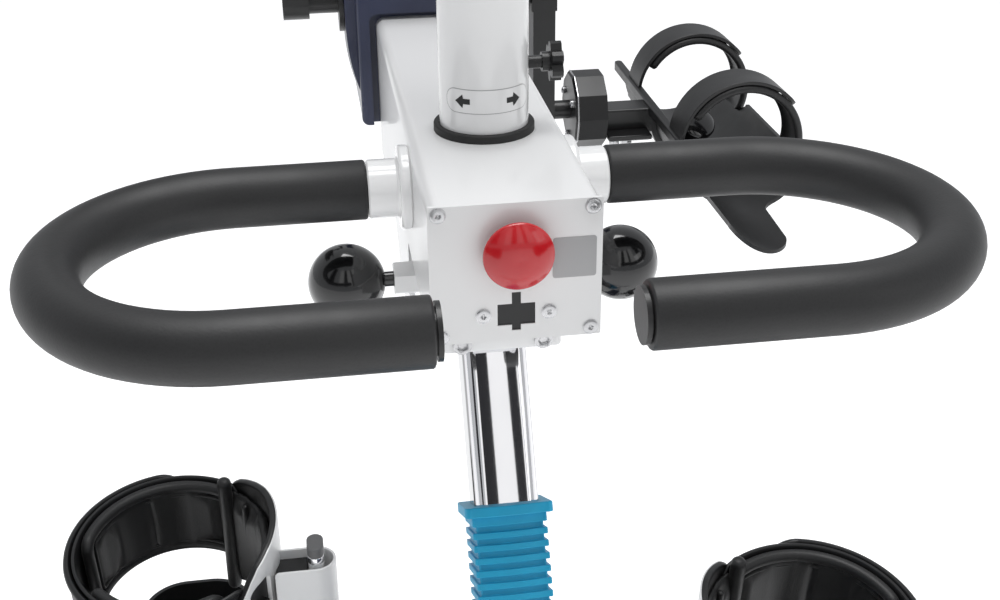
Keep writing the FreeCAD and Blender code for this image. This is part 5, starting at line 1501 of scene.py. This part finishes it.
    def slot_tool(self) -> bpy.types.Object:
        """What is cut out of the shell for the strap's end: a block with two round upper corners.

        Returns:
            The tool.
        """
        low, high, rear, front, turn = -12 * MM, 35.5 * MM, -39 * MM, -62 * MM, 8 * MM
        points = [*arc((rear - turn, high - turn), turn, 0, 90, 10),
                  *arc((front + turn, high - turn), turn, 90, 180, 10), (front, low), (rear, low)]
        tool = Workpiece.drawn("slot_tool", [(-95 * MM, depth, height) for depth, height in points])
        tool.extrude(65 * MM, 0, 0)
        return tool.finish(30)

    def slot_strap(self) -> bpy.types.Object:
        """Ribbed end of the strap that comes out through the shell's front slot.

        Returns:
            The strap's end.
        """
        inner, outer, crown, half = 84.4 * MM, 88.6 * MM, 89.5 * MM, 9 * MM
        section = [(inner, -half), (outer, -half)]
        for rib in range(-4, 5):
            section += [(outer, (rib * 2 - 0.55) * MM), (crown, (rib * 2 - 0.3) * MM),
                        (crown, (rib * 2 + 0.3) * MM), (outer, (rib * 2 + 0.55) * MM)]
        section += [(outer, half), (inner, half)]
        return Band("slot_strap_pattern", section, *self.slot_span).build().finish(40)

    def build(self) -> None:
        """Make the patterns, then copy them to both sides."""
        pad_half, edge, seam = self.half - 2 * MM, self.half - self.roll_radius, self.half - 12.5 * MM
        roll, piping = (self.roll_radius, self.roll_line), (self.piping_radius, self.piping_line)
        rigid = {
            "calf_band": (self.strap(), "strap_webbing", "moulded_black"),
            "calf_overlap": (self.overlap(), "strap_webbing", "moulded_black"),
            "shell_liner": (self.liner(), "moulded_black", ""),
            "calf_shell": (self.shell(), "white_shell", ""),
            "slot_strap": (self.slot_strap(), "moulded_black", ""),
        }
        level = {
            "loop_wall": (self.loop_wall(), "white_shell"),
            "loop_block": (self.loop_block(), "moulded_black"),
        }
        soft = {
            "back_pad": self.pad("back_pad_pattern", self.back_span, pad_half, -pad_half),
            "front_pad": self.pad("front_pad_pattern", self.front_span, pad_half, -pad_half),
            "shell_pad": self.pad("shell_pad_pattern", self.shell_span, 37 * MM, self.pad_foot, 80.5 * MM),
        }
        rolls = {
            "back_pad_roll": self.roll("back_pad_roll_pattern", *roll, edge, (57, 172), 9 * MM),
            "front_pad_roll": self.roll("front_pad_roll_pattern", *roll, edge, self.front_span, 9 * MM, True),
            "back_piping": self.roll("back_piping_pattern", *piping, seam, (57, 165), 5 * MM, sides=8),
            "front_piping": self.roll("front_piping_pattern", *piping, seam, (221, 295), 5 * MM, True, 8),
            "shell_pad_roll": self.end_roll(),
            "shell_pad_ridge": self.ridge(),
        }
        for side in Side:
            place = self.to_cuff(side)
            stands_for = {"calf_band": f"cuff_strap_{side}", "calf_shell": f"cuff_shell_{side}",
                          "back_pad": f"cuff_pad_{side}"}
            for name, (piece, slot, finish) in rigid.items():
                nodes = [stands_for[name]] if name in stands_for else []
                fit(twin(piece, f"{name}_{side}", place), slot, f"{side}_cuff", *nodes, finish=finish)
            for name, piece in (*soft.items(), *rolls.items()):
                nodes = [stands_for[name]] if name in stands_for else []
                copy = fit(twin(piece, f"{name}_{side}", place), "pad_lining", f"{side}_cuff", *nodes)
            upright = Matrix.Translation(place.to_translation()) @ side.mirror
            for name, (piece, slot) in level.items():
                fit(twin(piece, f"{name}_{side}", upright), slot, f"{side}_cuff")
            fit(self.stadium(f"post_ring_{side}", side, 0.3 * MM, self.ring, 0.6 * MM),
                "bright_chrome", f"{side}_pedal")
            fit(self.stadium(f"post_cap_{side}", side, 0.5 * MM, self.cap, 1.2 * MM),
                "panel_grey", f"{side}_pedal", finish="grey_cap")
        put_away(*(piece for piece, *_ in (*rigid.values(), *level.values())),
                 *soft.values(), *rolls.values())


# --- forearm rests -------------------------------------------------------------------------------

@dataclass
class ForearmRest:
    """Strap hoops over the two forearm troughs, and the fine pieces of each trough, bracket and drum."""

    centre_x: float = 239 * MM
    centre_z: float = 803 * MM
    hoops: tuple[float, float] = (282 * MM, 424 * MM)
    half: float = 18.2 * MM
    pin: tuple[float, float] = (370 * MM, 1014 * MM)
    nose_up: float = 6.0
    left_shift: tuple[float, float] = (-19.5 * MM, 208 * MM)
    strap_span: tuple[float, float] = (-158, 146)
    lining_span: tuple[float, float] = (30, 206)
    button_radius: float = 17 * MM
    button_foot: float = -8 * MM
    button_side: float = 10.6 * MM
    button_dome: tuple[tuple[float, float], ...] = (
        (0.5, 0.975), (1.0, 0.93), (1.2, 0.84), (1.2, 0.7), (0.7, 0.5), (0.2, 0.3))
    button_place: tuple[float, float, float] = (222 * MM, 344 * MM, 796 * MM)
    button_turns: tuple[float, float] = (18, 38)
    clamp_place: tuple[float, float, float] = (164 * MM, 352 * MM, 787 * MM)
    clamp_size: tuple[float, float, float] = (38 * MM, 24 * MM, 4 * MM)
    spacer_depth: float = 12 * MM
    spacer_drop: float = 7 * MM
    drum: tuple[float, float] = (370 * MM, 806 * MM)
    drum_radius: float = 33.6 * MM
    drum_face: float = 117.6 * MM
    drum_plate: float = 1.3 * MM
    screw_radius: float = 3.2 * MM
    screw_depth: float = 3 * MM
    screw_middle: float = 115.2 * MM
    screw_circle: float = 22 * MM
    screw_turns: tuple[float, ...] = (30, 150, 270)

    def to_hoop(self, depth: float) -> Matrix:
        """Place of a hoop's own frame, whose axis lies along the trough."""
        return Matrix.Translation((self.centre_x, depth, self.centre_z)) @ Matrix.Rotation(pi / 2, 4, "X")

    def to_left(self) -> Matrix:
        """Carry a piece of the right rest to the left one, which is tipped up at its nose.

        Returns:
            The placing matrix.
        """
        pivot = Matrix.Translation((0, *self.pin))
        across, up = self.left_shift
        shift = Matrix.Translation((across, 0, up)) @ Side.LEFT.mirror
        return pivot @ Matrix.Rotation(radians(-self.nose_up), 4, "X") @ pivot.inverted() @ shift

    def outer(self, name: str) -> bpy.types.Object:
        """Wide smooth strap from under the trough, over the top to a thin tip.

        Args:
            name: name of the strap.

        Returns:
            The strap.
        """
        half = self.half
        section = [(50.45 * MM, -half + 0.3 * MM), (50.45 * MM, half - 0.3 * MM), (50.8 * MM, half),
                   (52.8 * MM, half), (53.2 * MM, half - 0.4 * MM), (53.3 * MM, 0),
                   (53.2 * MM, -half + 0.4 * MM), (52.8 * MM, -half), (50.8 * MM, -half)]
        return Band(name, section, *self.strap_span, step=3).rounded(half, 13 * MM, 52 * MM).finish(24)

    def inner(self, name: str) -> bpy.types.Object:
        """Padded band inside the hoop, rolled along both edges.

        Args:
            name: name of the band.

        Returns:
            The band.
        """
        half, roll = self.half + 1.2 * MM, 3.3 * MM
        bead = arc((46.6 * MM, half - roll), roll, -60, 240, 30)
        section = [*reversed(bead), *((radius, -height) for radius, height in bead)]
        return Band(name, section, *self.lining_span, step=3).rounded(half, 4 * MM, 48 * MM).finish(60)

    def button(self) -> bpy.types.Object:
        """Glossy domed pad on the trough's machine side.

        Returns:
            The pad in its place.
        """
        work = Workpiece("trough_button_right", "circle", vertices=48, radius=self.button_radius,
                         fill_type="NGON", location=(0, 0, self.button_foot))
        work.extrude(0, 0, self.button_side)
        for rise, share in self.button_dome:
            work.step((0, 0, rise * MM), (share, share, 1), (0, 0, 0))
        about_y, about_x = self.button_turns
        place = Matrix.Translation(self.button_place) @ Matrix.Rotation(radians(about_y), 4, "Y")
        return put(work.finish(40), place @ Matrix.Rotation(radians(about_x), 4, "X"))

    def rail(self) -> bpy.types.Object:
        """Thick rounded rail along the trough's machine-side rim.

        Returns:
            The rail.
        """
        near, far, foot, deep = 178 * MM, 492 * MM, 801 * MM, 9 * MM
        half, centre = 3.7 * MM, 187.2 * MM
        points = arc((centre, far - half), half, 0, 180, 20)
        points += [(2 * centre - across, near + far - along) for across, along in points]
        work = Workpiece.drawn("trough_rail_right", [(across, along, foot) for across, along in points])
        work.extrude(0, 0, deep)
        return soften(work.finish(50), 1.4 * MM, 3, 60)

    def clamp_plate(self) -> bpy.types.Object:
        """Small plate under the bracket, on its two legs.

        Returns:
            The plate.
        """
        work = Workpiece("bracket_clamp_right", "cube", size=1, location=self.clamp_place,
                         scale=self.clamp_size)
        work.pick_faces(lambda middle, normal: normal.z < -0.9)
        work.inset(3 * MM)
        work.slide(0, 0, -1.5 * MM)
        return soften(work.finish(40), 0.8 * MM)

    def spacer(self, name: str, sides: int, radius: float, across: float) -> bpy.types.Object:
        """Steel spacer under the clamp plate, round or hexagonal.

        Args:
            name: name of the spacer.
            sides: number of its sides.
            radius: radius of its corners.
            across: how far out it stands.

        Returns:
            The spacer.
        """
        _, depth, height = self.clamp_place
        work = Workpiece(name, "cylinder", vertices=sides, radius=radius, depth=self.spacer_depth,
                         location=(across, depth, height - self.spacer_drop))
        work.pick_edges(lambda first, second: abs(first.z - second.z) < TINY)
        work.bevel(0.6 * MM, 2)
        return work.finish(30)

    def drum_rim(self) -> bpy.types.Object:
        """Thin bright plate round the drum's inner face, ten-sided as the drum is.

        Returns:
            The plate.
        """
        corners = arc(self.drum, self.drum_radius, 0, 324, 36)
        work = Workpiece.drawn("drum_rim_right", [(self.drum_face, *corner) for corner in corners])
        work.extrude(self.drum_plate, 0, 0)
        return soften(work.finish(25), 0.35 * MM)

    def drum_screw(self, name: str, turn: float) -> bpy.types.Object:
        """Socket screw in the drum's inner face, at one turn about its middle.

        Args:
            name: name of the screw.
            turn: its turn in degrees.

        Returns:
            The screw.
        """
        depth, height = self.drum
        work = Workpiece(name, "cylinder", vertices=24, radius=self.screw_radius, depth=self.screw_depth,
                         rotation=(0, -pi / 2, 0),
                         location=(self.screw_middle, depth + self.screw_circle * cos(radians(turn)),
                                   height + self.screw_circle * sin(radians(turn))))
        work.pick_faces(lambda middle, normal: normal.x < -0.9)
        work.inset(0.5 * MM)
        work.slide(-0.4 * MM, 0, 0)
        work.inset(1.1 * MM)
        work.slide(1.5 * MM, 0, 0)
        return work.finish(40)

    def build(self) -> None:
        """Make the hoops of both rests and their fine pieces."""
        for index, (depth, word) in enumerate(zip(self.hoops, ("near", "far"))):
            for kind, maker in (("strap", self.outer), ("roll", self.inner)):
                right = put(maker(f"forearm_{word}_{kind}_right"), self.to_hoop(depth))
                for piece, side in pair(right, self.to_left()):
                    nodes = (f"forearm_straps_{side}",) if index == 0 and kind == "strap" else ()
                    fit(piece, "strap_webbing", f"{side}_forearm", *nodes,
                        finish="moulded_black" if kind == "strap" else "pad_lining")
        steel = "machined_steel"
        details = (
            (self.button(), "moulded_black", "knob_black"),
            (self.rail(), "moulded_black", ""),
            (self.clamp_plate(), "black_paint", ""),
            (self.spacer("bracket_spacer_right", 6, 5 * MM, 163 * MM), steel, ""),
            (self.spacer("bracket_leg_right", 32, 4.2 * MM, 152.5 * MM), steel, ""),
            (self.drum_rim(), steel, ""),
            *((self.drum_screw(f"drum_screw_{number}_right", turn), steel, "")
              for number, turn in enumerate(self.screw_turns)),
        )
        for right, slot, finish in details:
            for piece, side in pair(right, self.to_left()):
                fit(piece, slot, f"{side}_forearm", finish=finish)


# --- foot trays ----------------------------------------------------------------------------------

@dataclass
class SoleMat:
    """Ribbed rubber mats in both foot trays."""

    left: float = 203 * MM
    right: float = 293 * MM
    back: float = -121 * MM
    front: float = 143 * MM
    bend: float = 33 * MM
    floor: float = 18 * MM
    thick: float = 2 * MM
    pitch: float = 12 * MM
    rib_radius: float = 2.6 * MM
    rib_length: float = 62 * MM

    def mat(self) -> bpy.types.Object:
        """The mat with its round corners, above the right pedal's axle.

        Returns:
            The mat without its ribs.
        """
        near, far = self.left + self.bend, self.right - self.bend
        back, front = self.back + self.bend, self.front - self.bend
        corners = ((0, (far, front)), (90, (near, front)), (180, (near, back)), (270, (far, back)))
        points = [spot for start, middle in corners for spot in arc(middle, self.bend, start, start + 90, 10)]
        work = Workpiece.drawn("mat_base", [(across, along, self.floor) for across, along in points])
        work.extrude(0, 0, self.thick)
        return soften(work.finish(50), 0.7 * MM, 2, 60)

    def rib(self) -> bpy.types.Object:
        """One rounded rib across the mat.

        Returns:
            The rib.
        """
        work = Workpiece("mat_rib", "cylinder", vertices=16, radius=self.rib_radius, depth=self.rib_length,
                         rotation=(0, pi / 2, 0),
                         location=((self.left + self.right) / 2, 0, self.floor + self.thick - 0.6 * MM))
        work.pick_edges(lambda first, second: abs(first.x - second.x) < TINY)
        work.bevel(1.4 * MM, 3)
        return work.finish(50)

    def build(self) -> None:
        """Make the mats and lay one in each tray."""
        rib = self.rib()
        rows = int((self.front - self.back - 2 * self.pitch) / self.pitch)
        first = (self.front + self.back) / 2 - (rows - 1) * self.pitch / 2
        ribs = [twin(rib, f"mat_rib_{row}", Matrix.Translation((0, first + row * self.pitch, 0)))
                for row in range(rows)]
        put_away(rib)
        mat = join("sole_mat", self.mat(), *ribs)
        for side, (depth, height) in PEDAL_AXLES.items():
            place = Matrix.Translation((0, depth, height)) @ side.mirror
            fit(twin(mat, f"sole_mat_{side}", place), "black_rubber", f"{side}_pedal")
        put_away(mat)


# --- front plate ---------------------------------------------------------------------------------

@dataclass
class FrontPlate:
    """Cross-headed screws, socket screws and the bare grey square on the front plate."""

    face: float = -60 * MM
    middle: float = 860 * MM
    head: float = 4.2 * MM
    washer: float = 4.7 * MM
    blade: tuple[float, float, float] = (4.6 * MM, 1.5 * MM, 0.95 * MM)
    rise: float = 1.3 * MM
    socket: float = 5.8 * MM
    hexagon: float = 3.4 * MM
    spots: tuple[tuple[float, float], ...] = ((-43, 37.4), (43, 37.4), (-43, -37.4), (43, -37.4),
                                              (-18.8, -25.5), (18.8, -25.5))
    block_spots: tuple[tuple[float, float], ...] = ((-25.2, -71.5), (25.2, -71.5))
    block_face: float = -7 * MM
    patch: tuple[float, float, float, float] = (20.6 * MM, 45.4 * MM, -5 * MM, 19.6 * MM)
    cross_turn: float = 17.0
    cross_step: float = 31.0
    socket_step: float = 0.4

    def pan_head(self) -> bpy.types.Object:
        """Domed screw head with a cross recess, facing the front at the origin.

        Returns:
            The screw head.
        """
        work = Workpiece("plate_screw", "circle", vertices=40, radius=self.washer, fill_type="NGON",
                         rotation=(pi / 2, 0, 0))
        work.extrude(0, -0.35 * MM, 0)
        work.step((0, 0, 0), (self.head / self.washer, 1, self.head / self.washer), (0, 0, 0))
        work.extrude(0, -0.45 * MM, 0)
        for rise, share in ((0.28, 0.93), (0.16, 0.84), (0.06, 0.6)):
            work.step((0, -rise * MM, 0), (share, 1, share), (0, 0, 0))
        head = work.finish(40)
        for turn in (0, pi / 2):
            blade = Workpiece("driver_blade", "cube", size=1, location=(0, -self.rise, 0),
                              rotation=(0, turn + pi / 4, 0), scale=self.blade)
            blade.pick_faces(lambda middle, normal: normal.y > 0.9)
            blade.swell((0.55, 1, 0.55), (0, -self.rise, 0))
            cut_out(head, blade.finish(30))
        return head

    def socket_head(self) -> bpy.types.Object:
        """Cap screw head with a chamfered rim and a hexagon socket, facing the front at the origin.

        Returns:
            The screw head.
        """
        work = Workpiece("block_screw", "circle", vertices=40, radius=self.socket, fill_type="NGON",
                         rotation=(pi / 2, 0, 0))
        work.extrude(0, -2.4 * MM, 0)
        work.step((0, -0.6 * MM, 0), (0.9, 1, 0.9), (0, 0, 0))
        head = work.finish(30)
        key = Workpiece("hex_key", "cylinder", vertices=6, radius=self.hexagon, depth=3.6 * MM,
                        location=(0, -3 * MM, 0), rotation=(pi / 2, 0, 0))
        key.pick_edges(lambda first, second: first.y > -2 * MM and second.y > -2 * MM)
        key.bevel(0.4 * MM, 1)
        cut_out(head, key.finish(30))
        return head

    def screws(self) -> bpy.types.Object:
        """All eight screws as one piece, each cross turned its own way.

        Returns:
            The screws.
        """
        pan, cap = self.pan_head(), self.socket_head()
        placed = []
        for index, (across, up) in enumerate(self.spots):
            turn = Matrix.Rotation(radians(self.cross_turn + self.cross_step * index), 4, "Y")
            place = Matrix.Translation((across * MM, self.face, self.middle + up * MM))
            placed.append(twin(pan, f"plate_screw_{index}", place @ turn))
        for index, (across, up) in enumerate(self.block_spots):
            place = Matrix.Translation((across * MM, self.block_face, self.middle + up * MM))
            turn = Matrix.Rotation(index * self.socket_step, 4, "Y")
            placed.append(twin(cap, f"block_screw_{index}", place @ turn))
        put_away(pan, cap)
        return join("front_screws", *placed)

    def bare_square(self) -> bpy.types.Object:
        """Plain grey square with rounded corners, left without any print.

        Returns:
            The square.
        """
        left, right, foot, top = self.patch
        place = ((left + right) / 2, self.face - 0.15 * MM, self.middle + (foot + top) / 2)
        work = Workpiece("bare_grey_square", "cube", size=1, location=place,
                         scale=(right - left, 0.3 * MM, top - foot))
        work.pick_edges(lambda first, second: abs(first.y - second.y) > 0.2 * MM)
        work.bevel(1.6 * MM, 5)
        return soften(work.finish(30), 0.1 * MM, 1, 60)

    def build(self) -> None:
        """Make the plate's screws and its square."""
        fit(self.screws(), "screw_steel", "head", "head_screws")
        fit(self.bare_square(), "panel_grey", "head", finish="grey_foil")


# --- control panel -------------------------------------------------------------------------------

@dataclass
class Console:
    """Bare display glass and unmarked keys in the control panel's recess."""

    foot: tuple[float, float, float] = (0, 64 * MM, 1158 * MM)
    lean: float = 20.0
    recess: float = -11.8 * MM
    glass_size: tuple[float, float] = (136 * MM, 58 * MM)
    glass_height: float = 74 * MM
    pad_height: float = 25 * MM
    key_height: float = 27 * MM
    key_radius: float = 8.6 * MM
    key_side: float = 1.3 * MM
    key_dome: tuple[tuple[float, float], ...] = (
        (0.0, 0.94), (0.7, 1.0), (0.5, 0.93), (0.3, 0.8), (0.15, 0.55))
    keys: tuple[float, ...] = (-54 * MM, -27 * MM, 0.0, 27 * MM, 54 * MM)

    def slab(self, name: str, size: tuple[float, float], height: float, thick: float) -> bpy.types.Object:
        """Thin slab with round corners, lying in the recess.

        Args:
            name: name of the slab.
            size: its width and height.
            height: height of its middle above the panel's foot.
            thick: how far it stands out of the recess.

        Returns:
            The slab.
        """
        work = Workpiece(name, "cube", size=1, location=(0, self.recess - thick / 2 + 0.2 * MM, height),
                         scale=(size[0], thick + 0.4 * MM, size[1]))
        work.pick_edges(lambda first, second: abs(first.y - second.y) > thick * 0.5)
        work.bevel(4 * MM, 6)
        return soften(work.finish(40), 0.25 * MM, 2, 60)

    def key(self) -> bpy.types.Object:
        """One domed round key with a groove round it.

        Returns:
            The key.
        """
        work = Workpiece("panel_key", "circle", vertices=40, radius=self.key_radius, fill_type="NGON",
                         rotation=(pi / 2, 0, 0), location=(0, self.recess, self.key_height))
        work.extrude(0, -self.key_side, 0)
        middle = (0, 0, self.key_height)
        for rise, share in self.key_dome:
            work.step((0, -rise * MM, 0), (share, 1, share), middle)
        return work.finish(40)

    def build(self) -> None:
        """Make the glass and the keys and set them in the panel."""
        place = Matrix.Translation(self.foot) @ Matrix.Rotation(radians(-self.lean), 4, "X")
        glass = self.slab("panel_glass", self.glass_size, self.glass_height, 0.6 * MM)
        fit(put(glass, place), "panel_grey", "panel", finish="screen_glass")
        pad = self.slab("panel_key_pad", (self.glass_size[0], self.pad_height), self.key_height, 0.5 * MM)
        fit(put(pad, place), "panel_grey", "panel", finish="grey_cap")
        key = self.key()
        for number, across in enumerate(self.keys):
            copy = twin(key, f"panel_key_{number}", place @ Matrix.Translation((across, 0, 0)))
            is_last = number == len(self.keys) - 1
            fit(copy, "panel_grey", "panel", finish="stop_red" if is_last else "grey_foil")
        put_away(key)


# --- column --------------------------------------------------------------------------------------

@dataclass
class Column:
    """Raised band on the swivelling column with its outline and two turning arrows.

    Angles are a band's: the front plate's side of the column is at -90.
    """

    centre: tuple[float, float] = (0, 64 * MM)
    radius: float = 27.72 * MM
    height: float = 927.5 * MM
    half: float = 7.1 * MM
    reach: float = 60.0
    arrow_at: tuple[float, float] = (-122, -55)
    arrow_reach: float = 20.0
    arrow_half: float = 4.6 * MM
    arrow_heights: tuple[float, float] = (0.2 * MM, 0.42 * MM)
    band_height: float = 0.2 * MM
    outline_height: float = 0.12 * MM
    outline_rim: float = 0.5 * MM
    outline_reach: float = 61.1
    front: float = -90.0
    head_share: float = 0.55
    tail_share: float = 0.36

    def strip(self, name: str, thick: float, half: float, reach: float) -> bpy.types.Object:
        """Thin strip round the column's front with rounded ends.

        Args:
            name: name of the strip.
            thick: how far it stands out.
            half: half its height.
            reach: degrees from its middle to each end.

        Returns:
            The strip.
        """
        inner, outer = self.radius, self.radius + thick
        section = [(inner, -half), (outer, -half), (outer, half), (inner, half)]
        band = Band(name, section, self.front - reach, self.front + reach, step=1.5)
        return band.rounded(half, half * 0.98, outer).finish(30)

    def arrow(self, name: str, middle: float, way: int) -> bpy.types.Object:
        """Arrow with a tapering head and a short tail, bent round the column.

        Args:
            name: name of the arrow.
            middle: angle of its middle.
            way: 1 where it points to growing angles, else -1.

        Returns:
            The arrow.
        """
        inner, outer = (self.radius + height for height in self.arrow_heights)
        section = [(inner, -self.arrow_half), (outer, -self.arrow_half), (outer, self.arrow_half),
                   (inner, self.arrow_half)]
        start, end = middle - self.arrow_reach / 2, middle + self.arrow_reach / 2
        band = Band(name, section, start, end, step=1.0)
        work = band.build()

        def half(angle: float) -> float:
            """Half height of the arrow at an angle.

            Args:
                angle: angle about the axis in degrees.

            Returns:
                The half height.
            """
            share = (end - angle) / (end - start) if way > 0 else (angle - start) / (end - start)
            if share < self.head_share:
                return self.arrow_half * max(share / self.head_share, 0.04)
            return self.arrow_half * self.tail_share

        band.trim(work, half, lambda angle: -half(angle))
        return work.finish(30)

    def build(self) -> None:
        """Make the band and its arrows."""
        place = Matrix.Translation((*self.centre, self.height))
        pieces = (
            (self.strip("column_band_outline", self.outline_height, self.half + self.outline_rim,
                        self.outline_reach), "panel_grey", "grey_foil"),
            (self.strip("column_band", self.band_height, self.half, self.reach), "column_white", ""),
            (self.arrow("column_arrow_left", self.arrow_at[0], -1), "moulded_black", ""),
            (self.arrow("column_arrow_right", self.arrow_at[1], 1), "moulded_black", ""),
        )
        for piece, slot, finish in pieces:
            fit(put(piece, place), slot, "column", finish=finish)


# --- studio --------------------------------------------------------------------------------------

@dataclass(frozen=True)
class Lamp:
    """A square soft light: where it hangs, the point that it faces, the side of its square and its watts."""

    name: str
    place: tuple[float, float, float]
    aim: tuple[float, float, float]
    size: float
    power: float

    def hang(self) -> None:
        """Hang the light."""
        lamp = bpy.data.lights.new(self.name, "AREA")
        lamp.size, lamp.energy = self.size, self.power
        light = bpy.data.objects.new(self.name, lamp)
        bpy.context.scene.collection.objects.link(light)
        light.location = self.place
        light.rotation_euler = (Vector(self.aim) - Vector(self.place)).to_track_quat("-Z", "Y").to_euler()


@dataclass
class Studio:
    """Pale floor, sky with a white card and dark flags, two soft lights and the camera.

    The card and the flags are spans of the sky, in degrees from the way that the front plate faces and
    growing towards plus X. The mast's plating and the polished parts reflect them.
    """

    floor_size: float = 30.0
    floor_tones: tuple[Colour, Colour] = ((0.93, 0.93, 0.93), (0.96, 0.96, 0.96))
    floor_glow: float = 0.5
    sky: Colour = (0.95, 0.97, 1.0)
    sky_strength: float = 0.54
    flags: tuple[tuple[float, float], ...] = ((-10.5, 1.5), (15.5, 22.5), (-62, -44), (52, 70))
    flag: Colour = (0.06, 0.06, 0.065)
    card: tuple[float, float] = (-26.0, 38.0)
    card_white: Colour = (1.9, 1.9, 1.9)
    card_heights: tuple[float, float] = (0.2, 0.85)
    lamps: tuple[Lamp, ...] = (
        Lamp("overhead_light", (0.1, 0.3, 3.2), (0, 0.1, 0.8), 1.5, 44),
        Lamp("front_light", (2.4, -1.7, 2.0), (0, 0, 0.8), 1.4, 7))
    camera_place: tuple[float, float, float] = (-0.108436, -0.734046, 1.184801)
    camera_turn: float = -8.365184
    camera_drop: float = 26.585242
    camera_roll: float = -0.572958
    lens: float = 48.9037
    sensor: float = 36.0

    def lay_floor(self) -> None:
        """A plain pale floor that runs out of sight."""
        bpy.ops.mesh.primitive_plane_add(size=self.floor_size)
        floor = bpy.context.object
        floor.name = "studio_floor"
        shader = Shader("pale_floor")
        shader.set(Base_Color=shader.tint(shader.noise(2, 2), *self.floor_tones), Roughness=0.9,
                   Emission_Color=(1.0, 1.0, 1.0), Emission_Strength=self.floor_glow)
        floor.data.materials.append(shader.material)

    def paint_sky(self) -> None:
        """A soft even sky, with one bright white card and dark flags standing in it."""
        world = bpy.data.worlds.new("soft_sky")
        world.use_nodes = True
        graph = Graph(world.node_tree)
        back = graph.tree.nodes["Background"]
        split = graph.add("SeparateXYZ", Vector=graph.add("TexCoord").outputs["Generated"]).outputs
        side = graph.math("ARCTAN2", split["X"], graph.math("MULTIPLY", split["Y"], -1.0))

        def within(value: object, low: float, high: float) -> bpy.types.NodeSocket:
            """1 where a value lies between two others, else 0."""
            return graph.math("MULTIPLY", graph.math("GREATER_THAN", value, low),
                              graph.math("LESS_THAN", value, high))

        height = within(split["Z"], *self.card_heights)
        spans = [within(side, radians(start), radians(end)) for start, end in self.flags]
        dark = spans[0]
        for span in spans[1:]:
            dark = graph.math("ADD", dark, span)
        card = within(side, radians(self.card[0]), radians(self.card[1]))
        colour = graph.tint(graph.math("MULTIPLY", card, height), self.sky, self.card_white)
        colour = graph.tint(graph.math("MULTIPLY", dark, height), colour, self.flag)
        graph.fill(back.inputs["Color"], colour)
        back.inputs["Strength"].default_value = self.sky_strength
        bpy.context.scene.world = world

    def set_camera(self) -> None:
        """The camera, above the front plate and a little to its left."""
        data = bpy.data.cameras.new("camera")
        data.lens, data.sensor_width = self.lens, self.sensor
        camera = bpy.data.objects.new("camera", data)
        bpy.context.scene.collection.objects.link(camera)
        turn = (Matrix.Rotation(radians(self.camera_turn), 4, "Z")
                @ Matrix.Rotation(pi / 2 - radians(self.camera_drop), 4, "X")
                @ Matrix.Rotation(radians(self.camera_roll), 4, "Z"))
        camera.matrix_world = Matrix.Translation(self.camera_place) @ turn
        bpy.context.scene.camera = camera

    def build(self) -> None:
        """Set the whole studio up."""
        self.lay_floor()
        self.paint_sky()
        for lamp in self.lamps:
            lamp.hang()
        self.set_camera()
        bpy.context.scene.view_settings.view_transform = "Standard"
        LOG.info("studio is set")


def main() -> None:
    """Build every piece in order."""
    logging.basicConfig(level=logging.INFO, format="%(name)s: %(message)s")
    Studio().build()
    dress_frame()
    assemblies = (Handlebars(), Mast(), Cuff(), ForearmRest(), SoleMat(), FrontPlate(), Console(), Column())
    for assembly in assemblies:
        LOG.info("sub-assembly %s", type(assembly).__name__)
        assembly.build()


if __name__ == "__main__":
    main()
